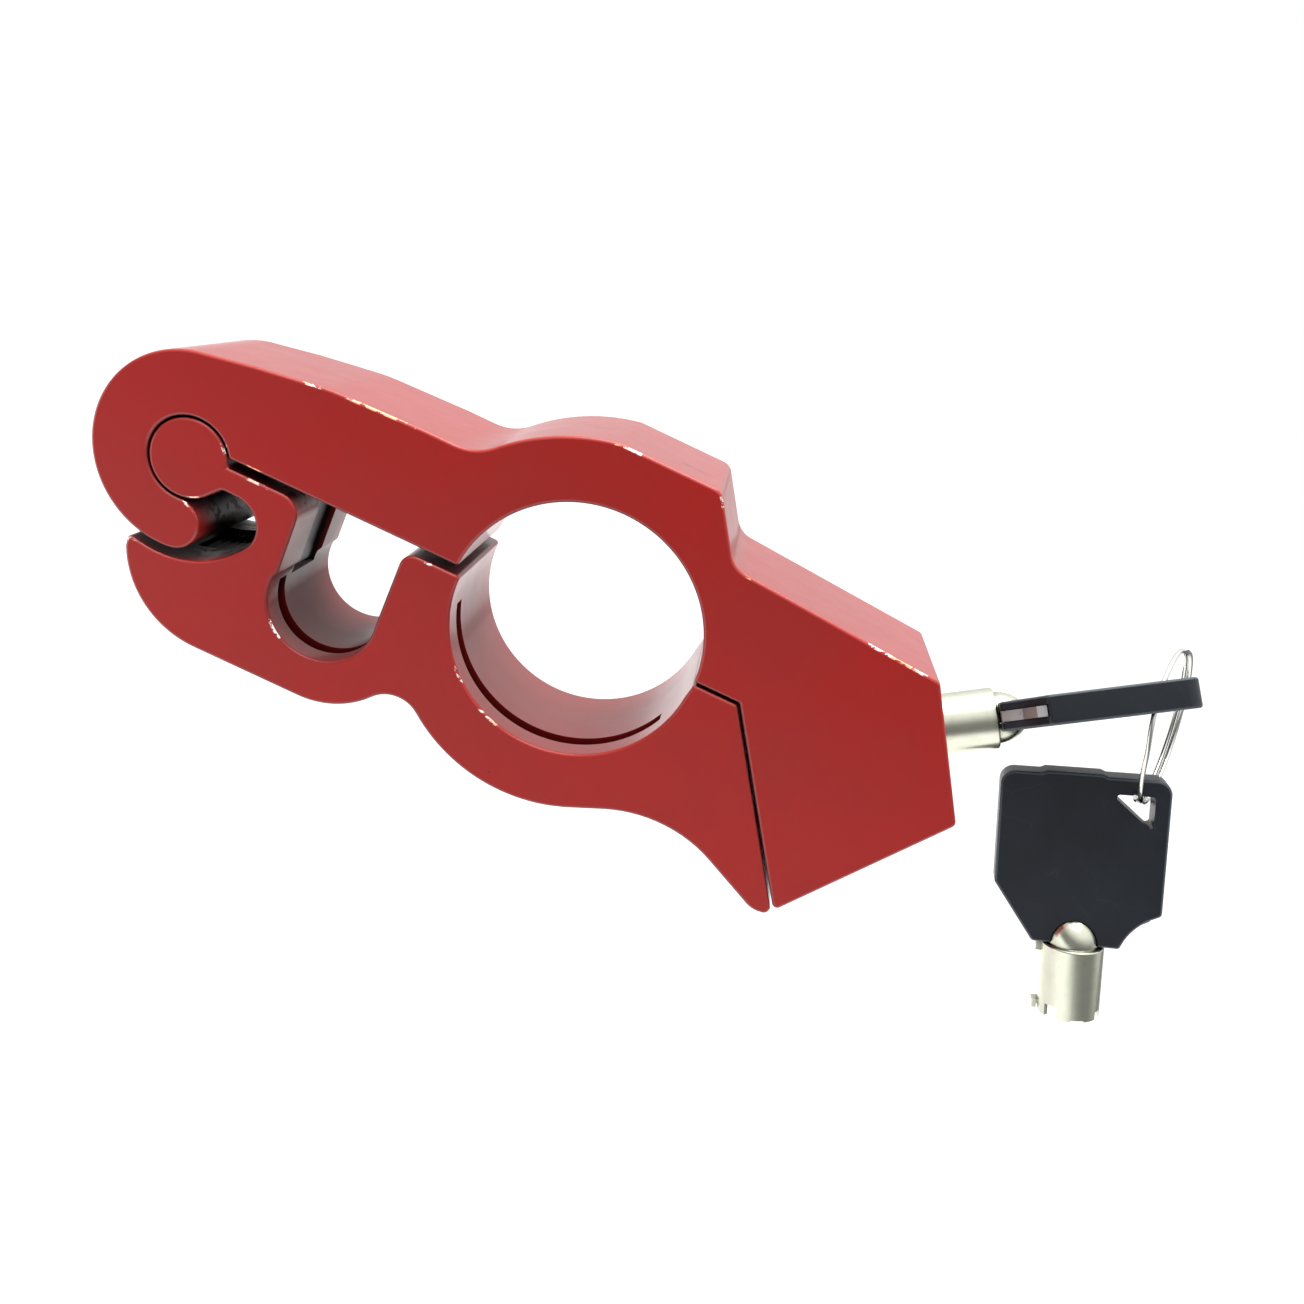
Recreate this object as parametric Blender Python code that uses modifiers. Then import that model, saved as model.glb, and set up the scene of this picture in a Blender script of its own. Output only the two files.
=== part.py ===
"""Two-jaw clamp lock for a handlebar grip and its brake lever, with a tubular key and a spare.

The frame: +X runs along the bar from the hinge towards the lock, +Y from the front face to the
back face, +Z up. The origin is the hinge axis on the front face. The jaws are shown closed and
unlocked, with the key in the lock. All dimensions below are in millimetres and degrees.
"""
import math

import bmesh
import bpy
from mathutils import Matrix, Vector

MM = 0.001

# Jaws
THICKNESS = 25.0
MIDDLE = THICKNESS / 2
EDGE_ROUND = 0.45
SOCKET_R = 6.1
KNUCKLE_R = 5.85
HOOK_CENTRE = (-0.1, 0.7)
HOOK_R = 14.6
NOSE_DEG = -86.0
NOSE_R = 3.9
NOSE_OUT = SOCKET_R + NOSE_R
BAR_BOTTOM = 2.6
BAR_TOP = 18.6
UPPER_BORE = (60.3, 0.8, 19.0)
LOWER_BORE = (60.7, 0.4, 18.4)
UPPER_PART = 1.9
LOWER_PART = 1.5
HUMP = (61.2, -1.6, 30.8)
HUMP_TOP = 28.7
VALLEY_R = 8.0
LOWER_TOP = 1.25
SLOT_LEFT = 17.5
SLOT_RIGHT = 33.5
SLOT_ARC = (25.25, -12.2, 8.3)
CRESCENT = (-0.2, -0.5, 14.7)
POCKET_R = 4.35
POCKET_DEG = -36.0
HORN_ARC = (9.3, -12.1, 14.9)
LEVER_WALL = (26.4, -13.3, 13.7)
BORE_WALL = (60.2, -1.65, 25.6)
DIP_R = 5.0
GROOVE_Y = (4.0, 6.6)
CORE_Y = (8.5, 17.5)

# Lock axis: s runs out of the end face, e is square to it in the jaws' plane
LOCK_DEG = 34.5
LOCK_ORIGIN = (116.9, MIDDLE, 8.2)
MATING_S = -28.6
JAW_GAP = 0.35
SHELL_R = 6.8
SHELL_BORE_R = 5.75
KEYWAY_R = 4.95
SHELL_BACK = -16.0
POST_R = 3.8
FLANGE_R = 5.55
FLANGE = (-5.0, -7.2)
SPINDLE_R = 2.2
BUSHING = (-7.35, -11.8)
PIN_COUNT = 7
PIN_CIRCLE = 4.1
PIN_R = 0.7
PIN_HOLE_R = 0.82
BARREL = (-12.1, -23.1)
BARREL_R = 5.4
BARREL_BORE_R = 3.65
BOLT_R = 3.3
BOLT_FLAT = 2.6
BOLT = (-15.0, -28.3)
BOLT_TRAVEL = 4.5
DRIVE_PIN_S = -16.0
DRIVE_PIN_R = 0.75
TURN_DEG = 90.0

# Keys: z runs from the shoulder of the steel tube to the end of the bow, x across the bow
SHOULDER_S = 8.6
KEY_TURN_DEG = 157.5
TUBE_R = 4.75
TUBE_BORE_R = 3.95
TUBE_LENGTH = 11.4
DOME_R = 4.0
DOME_HEIGHT = 4.7
BOW_HALF = 12.3
BOW_LENGTH = 27.0
BOW_THICK = 4.4
BLANK_THICK = 1.6
BLANK_STEP = 5.9
RING_HOLE = ((3.7, 24.5), (10.0, 24.5), (10.0, 19.0))
CUT_DEPTHS = (1.2, 0.5, 1.7, 0.9, 2.0, 0.4, 1.4)

# Split ring and the hang of the spare key
RING_R = 11.8
RING_WIRE = 0.36
RING_PITCH = 0.8
RING_SWING = 16.4
SPARE_TILT = -24.4
SPARE_LEAN = -8.8
SPARE_YAW = -7.3


def make_material(name, colour, roughness, metallic):
    material = bpy.data.materials.new(name)
    material.use_nodes = True
    shader = material.node_tree.nodes["Principled BSDF"]
    shader.inputs["Base Color"].default_value = (*colour, 1.0)
    shader.inputs["Roughness"].default_value = roughness
    shader.inputs["Metallic"].default_value = metallic
    material.diffuse_color = (*colour, 1.0)
    return material


for old in list(bpy.data.objects):
    bpy.data.objects.remove(old, do_unlink=True)

parts = bpy.data.collections.new("grip_clamp_lock")
cutters = bpy.data.collections.new("cutters")
bpy.context.scene.collection.children.link(parts)
bpy.context.scene.collection.children.link(cutters)

RED = make_material("red_paint", (0.36, 0.030, 0.027), 0.35, 0.0)
STEEL = make_material("plain_steel", (0.55, 0.54, 0.52), 0.35, 1.0)
NICKEL = make_material("nickel_plate", (0.72, 0.69, 0.62), 0.22, 1.0)
BRASS = make_material("brass", (0.68, 0.49, 0.20), 0.3, 1.0)
PLASTIC = make_material("dark_plastic", (0.030, 0.036, 0.048), 0.4, 0.0)
HARD = make_material("hardened_steel", (0.42, 0.41, 0.40), 0.45, 1.0)

# ------------------------------------------------------------------ frames


def frame(x_axis, y_axis, z_axis, origin):
    turned_axes = Matrix((x_axis, y_axis, z_axis)).transposed().to_4x4()
    return Matrix.Translation(Vector(origin) * MM) @ turned_axes


FRONT = frame((1, 0, 0), (0, 0, 1), (0, -1, 0), (0, 0, 0))
OUT = Vector((math.cos(math.radians(LOCK_DEG)), 0, math.sin(math.radians(LOCK_DEG))))
DEPTH = Vector((0, 1, 0))
ACROSS = OUT.cross(DEPTH)
LOCK = frame(DEPTH, ACROSS, OUT, LOCK_ORIGIN)
KEY = (
    LOCK
    @ Matrix.Translation((0, 0, SHOULDER_S * MM))
    @ Matrix.Rotation(math.radians(KEY_TURN_DEG), 4, "Z")
)


def turned_by(degrees):
    return Matrix.Rotation(math.radians(degrees), 4, "Z")


def shifted(x, y, z=0.0):
    return Matrix.Translation((x * MM, y * MM, z * MM))


# ------------------------------------------------------------------ flat outlines


def polar(radius, degrees, centre=(0.0, 0.0)):
    angle = math.radians(degrees)
    return (centre[0] + radius * math.cos(angle), centre[1] + radius * math.sin(angle))


def arc(x, y, radius, start, end, step=7.5):
    count = max(2, math.ceil(abs(end - start) / step))
    turns = [start + (end - start) * i / count for i in range(count + 1)]
    return [polar(radius, turn, (x, y)) for turn in turns]


def fillet(before, corner, after, radius):
    """The points of the arc that rounds one corner of a line."""
    here = Vector(corner)
    to_before = (Vector(before) - here).normalized()
    to_after = (Vector(after) - here).normalized()
    half = to_before.angle(to_after) / 2
    middle = here + (to_before + to_after).normalized() * radius / math.sin(half)
    start = here + to_before * radius / math.tan(half) - middle
    end = here + to_after * radius / math.tan(half) - middle
    sweep = start.angle_signed(end)
    count = max(2, math.ceil(math.degrees(abs(sweep)) / 12))
    first = math.atan2(start.y, start.x)
    return [
        (
            middle.x + radius * math.cos(first - sweep * i / count),
            middle.y + radius * math.sin(first - sweep * i / count),
        )
        for i in range(count + 1)
    ]


def chain(points):
    """A line through points (x, y) or corners (x, y, radius), which are rounded."""
    line = []
    count = len(points)
    for i, point in enumerate(points):
        if len(point) == 2:
            line.append(point)
            continue
        before = points[(i - 1) % count]
        after = points[(i + 1) % count]
        line += fillet(before[:2], point[:2], after[:2], point[2])
    return line


def circle(radius, steps=32, centre=(0.0, 0.0)):
    return [polar(radius, 360 * i / steps, centre) for i in range(steps)]


def sector(x, y, inner, outer, start, end):
    return arc(x, y, outer, start, end) + arc(x, y, inner, end, start)


def lock_point(s, e):
    """A point of the jaws' plane from its place along and across the lock's axis."""
    point = Vector(LOCK_ORIGIN) + OUT * s + ACROSS * e
    return (point.x, point.z)


def on_line(s, z):
    """The point at height z on the line square to the lock's axis at s."""
    e = (z - lock_point(s, 0)[1]) / ACROSS.z
    return lock_point(s, e)


# ------------------------------------------------------------------ solids


def link(obj, collection, material=None):
    collection.objects.link(obj)
    if collection is cutters:
        obj.hide_render = True
        obj.display_type = "WIRE"
    if material:
        obj.data.materials.append(material)
    return obj


def solid(name, mesh, place, material):
    """A mesh object: a node if it has a material, a cutter if it has none."""
    obj = bpy.data.objects.new(name, mesh)
    link(obj, parts if material else cutters, material)
    obj.matrix_world = place
    mesh.shade_smooth()
    mesh.set_sharp_from_angle(angle=math.radians(32))
    return obj


def evaluated_mesh(obj, name):
    bpy.context.view_layer.update()
    graph = bpy.context.evaluated_depsgraph_get()
    mesh = bpy.data.meshes.new_from_object(obj.evaluated_get(graph))
    mesh.name = name
    mesh.materials.clear()
    work = bmesh.new()
    work.from_mesh(mesh)
    bmesh.ops.remove_doubles(work, verts=work.verts, dist=0.000001)
    bmesh.ops.dissolve_limit(work, angle_limit=0.0005, verts=work.verts, edges=work.edges)
    bmesh.ops.recalc_face_normals(work, faces=work.faces)
    work.to_mesh(mesh)
    work.free()
    bpy.data.objects.remove(obj, do_unlink=True)
    return mesh


def prism(name, loops, low, high, place, material=None):
    """Flat outlines filled and extruded from low to high along the frame's z."""
    curve = bpy.data.curves.new(name, "CURVE")
    curve.dimensions = "2D"
    curve.fill_mode = "BOTH"
    curve.extrude = (high - low) / 2 * MM
    for loop in loops:
        spline = curve.splines.new("POLY")
        spline.points.add(len(loop) - 1)
        for point, (x, y) in zip(spline.points, loop):
            point.co = (x * MM, y * MM, 0, 1)
        spline.use_cyclic_u = True
    helper = bpy.data.objects.new(name, curve)
    link(helper, cutters)
    mesh = evaluated_mesh(helper, name)
    return solid(name, mesh, place @ shifted(0, 0, (low + high) / 2), material)


def plate(name, loops, front, back, material=None):
    """A prism between two depths of the jaws."""
    return prism(name, loops, -back, -front, FRONT, material)


def cylinder(name, radius, low, high, place, material=None, sides=32):
    work = bmesh.new()
    bmesh.ops.create_cone(
        work,
        cap_ends=True,
        segments=sides,
        radius1=radius * MM,
        radius2=radius * MM,
        depth=(high - low) * MM,
    )
    mesh = bpy.data.meshes.new(name)
    work.to_mesh(mesh)
    work.free()
    return solid(name, mesh, place @ shifted(0, 0, (low + high) / 2), material)


def turned(name, profile, place, material=None, steps=32):
    """A profile of (radius, z) points, from the top down its outer side, turned about z."""
    mesh = bpy.data.meshes.new(name)
    points = [(radius * MM, 0, z * MM) for radius, z in profile]
    mesh.from_pydata(points, [(i, i + 1) for i in range(len(points) - 1)], [])
    helper = bpy.data.objects.new(name, mesh)
    link(helper, cutters)
    screw = helper.modifiers.new("turn", "SCREW")
    screw.axis = "Z"
    screw.steps = steps
    screw.render_steps = steps
    screw.use_merge_vertices = True
    screw.merge_threshold = 0.000001
    mesh = evaluated_mesh(helper, name)
    return solid(name, mesh, place, material)


def wire(name, points, radius, material, place=None, resolution=2):
    """A round wire with filled ends along points in millimetres."""
    curve = bpy.data.curves.new(name, "CURVE")
    curve.dimensions = "3D"
    curve.bevel_depth = radius * MM
    curve.bevel_resolution = resolution
    curve.use_fill_caps = True
    spline = curve.splines.new("POLY")
    spline.points.add(len(points) - 1)
    for point, at in zip(spline.points, points):
        point.co = (at[0] * MM, at[1] * MM, at[2] * MM, 1)
    helper = bpy.data.objects.new(name, curve)
    link(helper, cutters)
    mesh = evaluated_mesh(helper, name)
    return solid(name, mesh, place or Matrix.Identity(4), material)


def cut(target, *tools):
    for tool in tools:
        boolean = target.modifiers.new(tool.name, "BOOLEAN")
        boolean.operation = "DIFFERENCE"
        boolean.solver = "EXACT"
        boolean.object = tool


def join(target, *tools):
    for tool in tools:
        boolean = target.modifiers.new(tool.name, "BOOLEAN")
        boolean.operation = "UNION"
        boolean.solver = "EXACT"
        boolean.object = tool


def round_edges(obj, width, segments=1):
    bevel = obj.modifiers.new("edges", "BEVEL")
    bevel.width = width * MM
    bevel.segments = segments
    bevel.limit_method = "ANGLE"
    bevel.angle_limit = math.radians(40)
    bevel.use_clamp_overlap = False


def axis_empty(name, place):
    empty = bpy.data.objects.new(name, None)
    parts.objects.link(empty)
    empty.empty_display_size = 0.01
    empty.matrix_world = place
    return empty


def carry(empty, *pieces):
    bpy.context.view_layer.update()
    for piece in pieces:
        piece.parent = empty
        piece.matrix_parent_inverse = empty.matrix_world.inverted()


# ------------------------------------------------------------------ upper jaw


def upper_outline():
    socket_end = math.sqrt(SOCKET_R**2 - BAR_BOTTOM**2)
    x, z, r = UPPER_BORE
    lip_x = x - math.sqrt(r**2 - (BAR_BOTTOM - z) ** 2)
    part_x = x + math.sqrt(r**2 - (UPPER_PART - z) ** 2)
    part_deg = math.degrees(math.asin((UPPER_PART - z) / r))
    hump_x, hump_z, hump_r = HUMP
    top_deg = 180 - math.degrees(math.asin((HUMP_TOP - hump_z) / hump_r))
    fillet_z = BAR_TOP + VALLEY_R
    fillet_x = hump_x - math.sqrt((hump_r + VALLEY_R) ** 2 - (fillet_z - hump_z) ** 2)
    touch_deg = math.degrees(math.atan2(fillet_z - hump_z, fillet_x - hump_x))
    lock_side = [
        (*polar(r, part_deg + 4, (x, z)),),
        (part_x, UPPER_PART, 0.6),
        on_line(MATING_S, UPPER_PART),
        (*lock_point(MATING_S, -22.1), 0.8),
        (*lock_point(0, -11.2), 1.0),
        (*lock_point(0, 11.3), 0.9),
        (77.1, 19.7, 4.0),
        (71.0, HUMP_TOP, 2.0),
        polar(hump_r, top_deg, (hump_x, hump_z)),
    ]
    return (
        chain(
            [
                polar(SOCKET_R, 31),
                (socket_end, BAR_BOTTOM, 0.5),
                (lip_x, BAR_BOTTOM, 0.6),
                polar(r, 169, (x, z)),
            ]
        )
        + arc(x, z, r, 165, part_deg + 8)
        + chain(lock_side)
        + arc(hump_x, hump_z, hump_r, top_deg + 3, touch_deg - 1)
        + arc(fillet_x, fillet_z, VALLEY_R, touch_deg - 180, -90)
        + chain([(30, BAR_TOP), (16.0, 18.15, 30), (5.0, 16.5)])
        + arc(*HOOK_CENTRE, HOOK_R, 98, 360 + NOSE_DEG)
        + arc(*polar(NOSE_OUT, NOSE_DEG), NOSE_R, NOSE_DEG + 14, NOSE_DEG + 172, 12)
        + arc(0, 0, SOCKET_R, NOSE_DEG - 4, -360 + 37)
    )


upper_jaw = plate("upper_jaw", [upper_outline()], 0, THICKNESS, RED)
round_edges(upper_jaw, EDGE_ROUND)
lock_bore = turned(
    "lock_bore",
    [(0, 2), (7.0, 2), (7.0, SHELL_BACK - 0.3), (5.8, SHELL_BACK - 0.3), (5.8, -23.5), (0, -23.5)],
    LOCK,
)


def d_section(radius, flat):
    half = math.degrees(math.acos(flat / radius))
    return arc(0, 0, radius, 90 + half, 450 - half, 10)


bolt_guide = prism("bolt_guide", [d_section(3.5, 2.8)], -30.0, -23.2, LOCK)
SCREW_DEG = 170.0
SCREW = frame(
    (0, 1, 0),
    Vector((*polar(1, SCREW_DEG), 0)).xzy.cross(Vector((0, 1, 0))),
    Vector((*polar(1, SCREW_DEG), 0)).xzy,
    (0, MIDDLE, 0),
)
screw_hole = cylinder("screw_hole", 1.7, 5.0, 17.0, SCREW)
SHELL_PIN_S = -13.9
SIDEWAYS = LOCK @ Matrix.Rotation(math.radians(90), 4, "Y")
shell_pin_hole = cylinder("shell_pin_hole", 1.25, 5.0, 14.0, SIDEWAYS @ shifted(-SHELL_PIN_S, 0))
cut(upper_jaw, lock_bore, bolt_guide, screw_hole, shell_pin_hole)

hinge_screw = turned(
    "hinge_screw",
    [
        (0, 12.4),
        (0.75, 12.4),
        (0.75, 13.6),
        (1.3, 13.6),
        (1.5, 13.4),
        (1.5, 7.2),
        (0.8, 6.6),
        (0.8, 5.3),
        (0, 5.3),
    ],
    SCREW,
    STEEL,
    24,
)

# ------------------------------------------------------------------ lower jaw


def lower_outline():
    x, z, r = LOWER_BORE
    lip_x = x - math.sqrt(r**2 - (LOWER_TOP - z) ** 2)
    slot_x, slot_z, slot_r = SLOT_ARC
    crescent_x, crescent_z, crescent_r = CRESCENT
    pocket = polar(crescent_r - POCKET_R, POCKET_DEG, (crescent_x, crescent_z))
    lever = Vector(LEVER_WALL[:2])
    wall = Vector(BORE_WALL[:2])
    reach = wall - lever
    lever_r = LEVER_WALL[2] + DIP_R
    wall_r = BORE_WALL[2] + DIP_R
    along = (lever_r**2 - wall_r**2 + reach.length_squared) / (2 * reach.length)
    aside = math.sqrt(lever_r**2 - along**2)
    unit = reach.normalized()
    dip = lever + unit * along + Vector((unit.y, -unit.x)) * aside
    wall_deg = math.degrees(math.atan2(dip.y - wall.y, dip.x - wall.x))
    lever_deg = math.degrees(math.atan2(dip.y - lever.y, dip.x - lever.x))
    tail_s = MATING_S - JAW_GAP
    return (
        chain(
            [
                (math.sqrt(KNUCKLE_R**2 - LOWER_TOP**2), LOWER_TOP),
                (SLOT_LEFT, LOWER_TOP, 3.2),
                (SLOT_LEFT, -10.2),
                polar(slot_r, 172, (slot_x, slot_z)),
            ]
        )
        + arc(slot_x, slot_z, slot_r, 178, 357)
        + chain(
            [
                (SLOT_RIGHT, -9.5),
                (SLOT_RIGHT, LOWER_TOP, 2.2),
                (lip_x, LOWER_TOP, 0.6),
                polar(r, 182, (x, z)),
            ]
        )
        + arc(x, z, r, 186, 352)
        + chain(
            [
                polar(r, 356, (x, z)),
                (79.45, LOWER_PART, 0.6),
                (*on_line(tail_s, LOWER_PART), 0.7),
                (*lock_point(tail_s, -22.9), 1.0),
                (102.8, -27.6, 4.0),
                (84.5, -18.7, 21.0),
                polar(BORE_WALL[2], -67, wall),
            ]
        )
        + arc(*BORE_WALL, -72, wall_deg)
        + arc(*dip, DIP_R, wall_deg + 180 + 8, lever_deg + 180, 10)
        + arc(*LEVER_WALL, lever_deg - 5, -90)
        + arc(*HORN_ARC, -90, -162)
        + chain(
            [
                polar(HORN_ARC[2], -163, HORN_ARC[:2]),
                (-5.05, -14.6, 0.55),
                polar(crescent_r, -105, (crescent_x, crescent_z)),
            ]
        )
        + arc(crescent_x, crescent_z, crescent_r, -102, POCKET_DEG)
        + arc(*pocket, POCKET_R, POCKET_DEG + 10, 95, 10)
        + chain([(7.2, -2.2), (6.0, -2.2, 0.8), polar(KNUCKLE_R, -42)])
        + arc(0, 0, KNUCKLE_R, -48, -360 + 18)
    )


lower_jaw = plate("lower_jaw", [lower_outline()], 0, THICKNESS, RED)
round_edges(lower_jaw, EDGE_ROUND)
bore_groove = plate(
    "bore_groove",
    [sector(*LOWER_BORE[:2], 17.4, 20.9, -166, -24)],
    *GROOVE_Y,
)
lever_groove = plate(
    "lever_groove",
    [sector(*SLOT_ARC[:2], 7.4, 10.2, -178, -12)],
    *GROOVE_Y,
)
knuckle_groove = plate("knuckle_groove", [sector(0, 0, 5.0, 7.5, 150, 225)], 11.4, 13.6)
core_slot = plate(
    "core_slot",
    [
        chain(
            [
                (18.2, 3.0),
                (14.3, 3.0),
                (14.3, -1.6),
                (11.0, -4.0),
                (8.0, -8.0),
                (2.0, -12.5),
                (2.0, -17.6),
                (8.5, -17.6),
                (13.5, -14.0),
                (14.9, -13.0),
                (18.2, -12.6),
            ]
        )
    ],
    *CORE_Y,
)
RIVET = (10.3, -14.1)
rivet_hole = plate("rivet_hole", [circle(0.85, 16, RIVET)], 7.0, 26.0)
bolt_pocket = cylinder("bolt_pocket", 3.7, -34.0, -28.0, LOCK)
# A low step at the back of the crescent, just outside the path of the hook's nose
crescent_step = plate("crescent_step", [sector(0, 0, 14.2, 15.8, -90, -50)], 18.2, 24.5)
join(lower_jaw, crescent_step)
cut(lower_jaw, bore_groove, lever_groove, knuckle_groove, core_slot, rivet_hole, bolt_pocket)


def core_outline():
    """The plate follows the pocket and has saw teeth along the crescent."""
    x, z, r = CRESCENT
    pocket = polar(r - POCKET_R, POCKET_DEG, (x, z))
    teeth = []
    for i in range(8):
        at = -46 - 4.4 * i
        teeth.append(polar(r + 1.3, at, (x, z)))
        teeth.append(polar(r + 0.6, at - 3.4, (x, z)))
    return (
        [(16.3, -0.6), (14.6, -0.6), (14.6, -2.0)]
        + arc(*pocket, POCKET_R + 1.1, 20, -42, 10)
        + teeth
        + [(2.3, -17.3), (8.2, -17.3), (13.1, -13.7), (14.6, -12.75), (16.3, -12.35)]
    )


core_plate = plate("core_plate", [core_outline()], CORE_Y[0] + 0.3, CORE_Y[1] - 0.3, HARD)
cut(core_plate, rivet_hole)
core_rivet = plate("core_rivet", [circle(0.7, 16, RIVET)], 7.3, 24.7, STEEL)

# ------------------------------------------------------------------ lock cylinder
LUG_DEG = KEY_TURN_DEG + 180
PIN_DEGS = [KEY_TURN_DEG + (i + 0.5) * 360 / PIN_COUNT for i in range(PIN_COUNT)]

lock_shell = turned(
    "lock_shell",
    [
        (KEYWAY_R, -0.3),
        (SHELL_R - 0.3, -0.3),
        (SHELL_R, -0.6),
        (SHELL_R, SHELL_BACK),
        (SHELL_BORE_R, SHELL_BACK),
        (SHELL_BORE_R, -1.1),
        (KEYWAY_R, -1.1),
        (KEYWAY_R, -0.3),
    ],
    LOCK,
    NICKEL,
)
lug_entry = prism(
    "lug_entry", [[(3.5, -1.2), (5.75, -1.2), (5.75, 1.2), (3.5, 1.2)]], -1.6, 0.5, LOCK @ turned_by(LUG_DEG)
)
BUSHING_PIN = (
    LOCK
    @ turned_by(PIN_DEGS[2] + 180 / PIN_COUNT)
    @ Matrix.Rotation(math.radians(90), 4, "Y")
    @ shifted(9.6, 0)
)
bushing_pin_hole = cylinder("bushing_pin_hole", 0.65, 4.3, 7.5, BUSHING_PIN, sides=16)
cut(lock_shell, lug_entry, shell_pin_hole, bushing_pin_hole)
bushing_pin = cylinder("bushing_pin", 0.5, 4.5, 6.7, BUSHING_PIN, STEEL, 16)
shell_pin = cylinder("shell_pin", 1.1, 6.0, 12.2, SIDEWAYS @ shifted(-SHELL_PIN_S, 0), STEEL, 20)

rotor = turned(
    "rotor",
    [
        (0, -0.9),
        (1.2, -0.9),
        (1.2, -0.5),
        (POST_R - 0.3, -0.5),
        (POST_R, -0.8),
        (POST_R, FLANGE[0]),
        (FLANGE_R, FLANGE[0]),
        (FLANGE_R, FLANGE[1]),
        (SPINDLE_R, FLANGE[1]),
        (SPINDLE_R, BARREL[0]),
        (0, BARREL[0]),
    ],
    LOCK,
    BRASS,
)
TENON = [(-1.4, -1.4), (1.4, -1.4), (1.4, 1.4), (-1.4, 1.4)]
tenon = prism("tenon", [TENON], -13.4, -11.5, LOCK)
join(rotor, tenon)
screw_bore = cylinder("screw_bore", 1.0, -13.8, -9.5, LOCK, sides=20)
cut(rotor, screw_bore)
pin_bushing = prism("pin_bushing", [circle(5.6), circle(2.4, 24)], BUSHING[1], BUSHING[0], LOCK, BRASS)
cut(pin_bushing, bushing_pin_hole)

key_pins = []
drivers = []
springs = []
for i, turn in enumerate(PIN_DEGS):
    here = LOCK @ turned_by(turn) @ shifted(PIN_CIRCLE, 0)
    number = i + 1
    cut(rotor, cylinder(f"rotor_hole_{number}", PIN_HOLE_R, -7.5, 0.5, here, sides=16))
    cut(pin_bushing, cylinder(f"chamber_{number}", PIN_HOLE_R, -11.4, -7.0, here, sides=16))
    tip = SHOULDER_S - TUBE_LENGTH + CUT_DEPTHS[i] - 0.2
    key_pins.append(cylinder(f"key_pin_{number}", PIN_R, FLANGE[1] + 0.03, tip, here, BRASS, 14))
    drivers.append(cylinder(f"driver_{number}", PIN_R, -9.5, -7.45, here, STEEL, 14))
    coil = [(*polar(0.52, 60 * j), -9.72 - 0.085 * j) for j in range(18)]
    springs.append(wire(f"driver_spring_{number}", coil, 0.1, STEEL, here, 1))

# ------------------------------------------------------------------ barrel and bolt
drive_barrel = turned(
    "drive_barrel",
    [
        (0, BARREL[0]),
        (BARREL_R, BARREL[0]),
        (BARREL_R, BARREL[1]),
        (BARREL_BORE_R, BARREL[1]),
        (BARREL_BORE_R, BARREL[0] - 1.5),
        (0, BARREL[0] - 1.5),
    ],
    LOCK @ shifted(0, 0, -0.1),
    STEEL,
)
tenon_hole = prism(
    "tenon_hole", [[(x * 1.12, y * 1.12) for x, y in TENON]], -14.5, -11.5, LOCK
)


def helical_slot(name, start_deg):
    """A bar that follows the drive pin's path through the barrel's wall."""
    margin = 17
    sections = 16
    half = 1.2
    work = bmesh.new()
    rings = []
    for i in range(sections + 1):
        turn = -margin + (TURN_DEG + 2 * margin) * i / sections
        s = DRIVE_PIN_S - BOLT_TRAVEL * turn / TURN_DEG
        direction = polar(1, start_deg + turn)
        corners = [(2.6, s - half), (7.0, s - half), (7.0, s + half), (2.6, s + half)]
        rings.append(
            [work.verts.new((direction[0] * r * MM, direction[1] * r * MM, z * MM)) for r, z in corners]
        )
    for one, two in zip(rings, rings[1:]):
        for j in range(4):
            work.faces.new((one[j], two[j], two[(j + 1) % 4], one[(j + 1) % 4]))
    work.faces.new(rings[0])
    work.faces.new(rings[-1])
    bmesh.ops.recalc_face_normals(work, faces=work.faces)
    mesh = bpy.data.meshes.new(name)
    work.to_mesh(mesh)
    work.free()
    return solid(name, mesh, LOCK, None)


DRIVE_PIN_DEG = 0.0
cut(
    drive_barrel,
    tenon_hole,
    helical_slot("slot_a", DRIVE_PIN_DEG),
    helical_slot("slot_b", DRIVE_PIN_DEG + 180),
)
barrel_screw = turned(
    "barrel_screw",
    [(0, -9.9), (0.85, -9.9), (0.85, -13.8), (2.5, -13.8), (2.5, -14.6), (0, -14.6)],
    LOCK,
    STEEL,
    24,
)
bolt = prism("bolt", [d_section(BOLT_R, BOLT_FLAT)], BOLT[1], BOLT[0], LOCK, STEEL)
round_edges(bolt, 0.35)
PIN_ACROSS = LOCK @ shifted(0, 0, DRIVE_PIN_S) @ turned_by(DRIVE_PIN_DEG) @ Matrix.Rotation(
    math.radians(90), 4, "Y"
)
drive_hole = cylinder("drive_hole", DRIVE_PIN_R + 0.1, -5, 5, PIN_ACROSS, sides=16)
cut(bolt, drive_hole)
drive_pin = cylinder("drive_pin", DRIVE_PIN_R, -5.1, 5.1, PIN_ACROSS, STEEL, 16)

# ------------------------------------------------------------------ keys


def build_barrel(name, place):
    dome = [
        (DOME_R * math.cos(math.radians(a)), DOME_HEIGHT * math.sin(math.radians(a)))
        for a in range(90, -1, -15)
    ]
    profile = dome + [
        (TUBE_R - 0.3, 0),
        (TUBE_R, -0.3),
        (TUBE_R, 0.2 - TUBE_LENGTH),
        (TUBE_R - 0.2, -TUBE_LENGTH),
        (TUBE_BORE_R, -TUBE_LENGTH),
        (TUBE_BORE_R, -1.2),
        (0, -1.2),
    ]
    profile[0] = (0, DOME_HEIGHT)
    return turned(name, profile, place, NICKEL)


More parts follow.
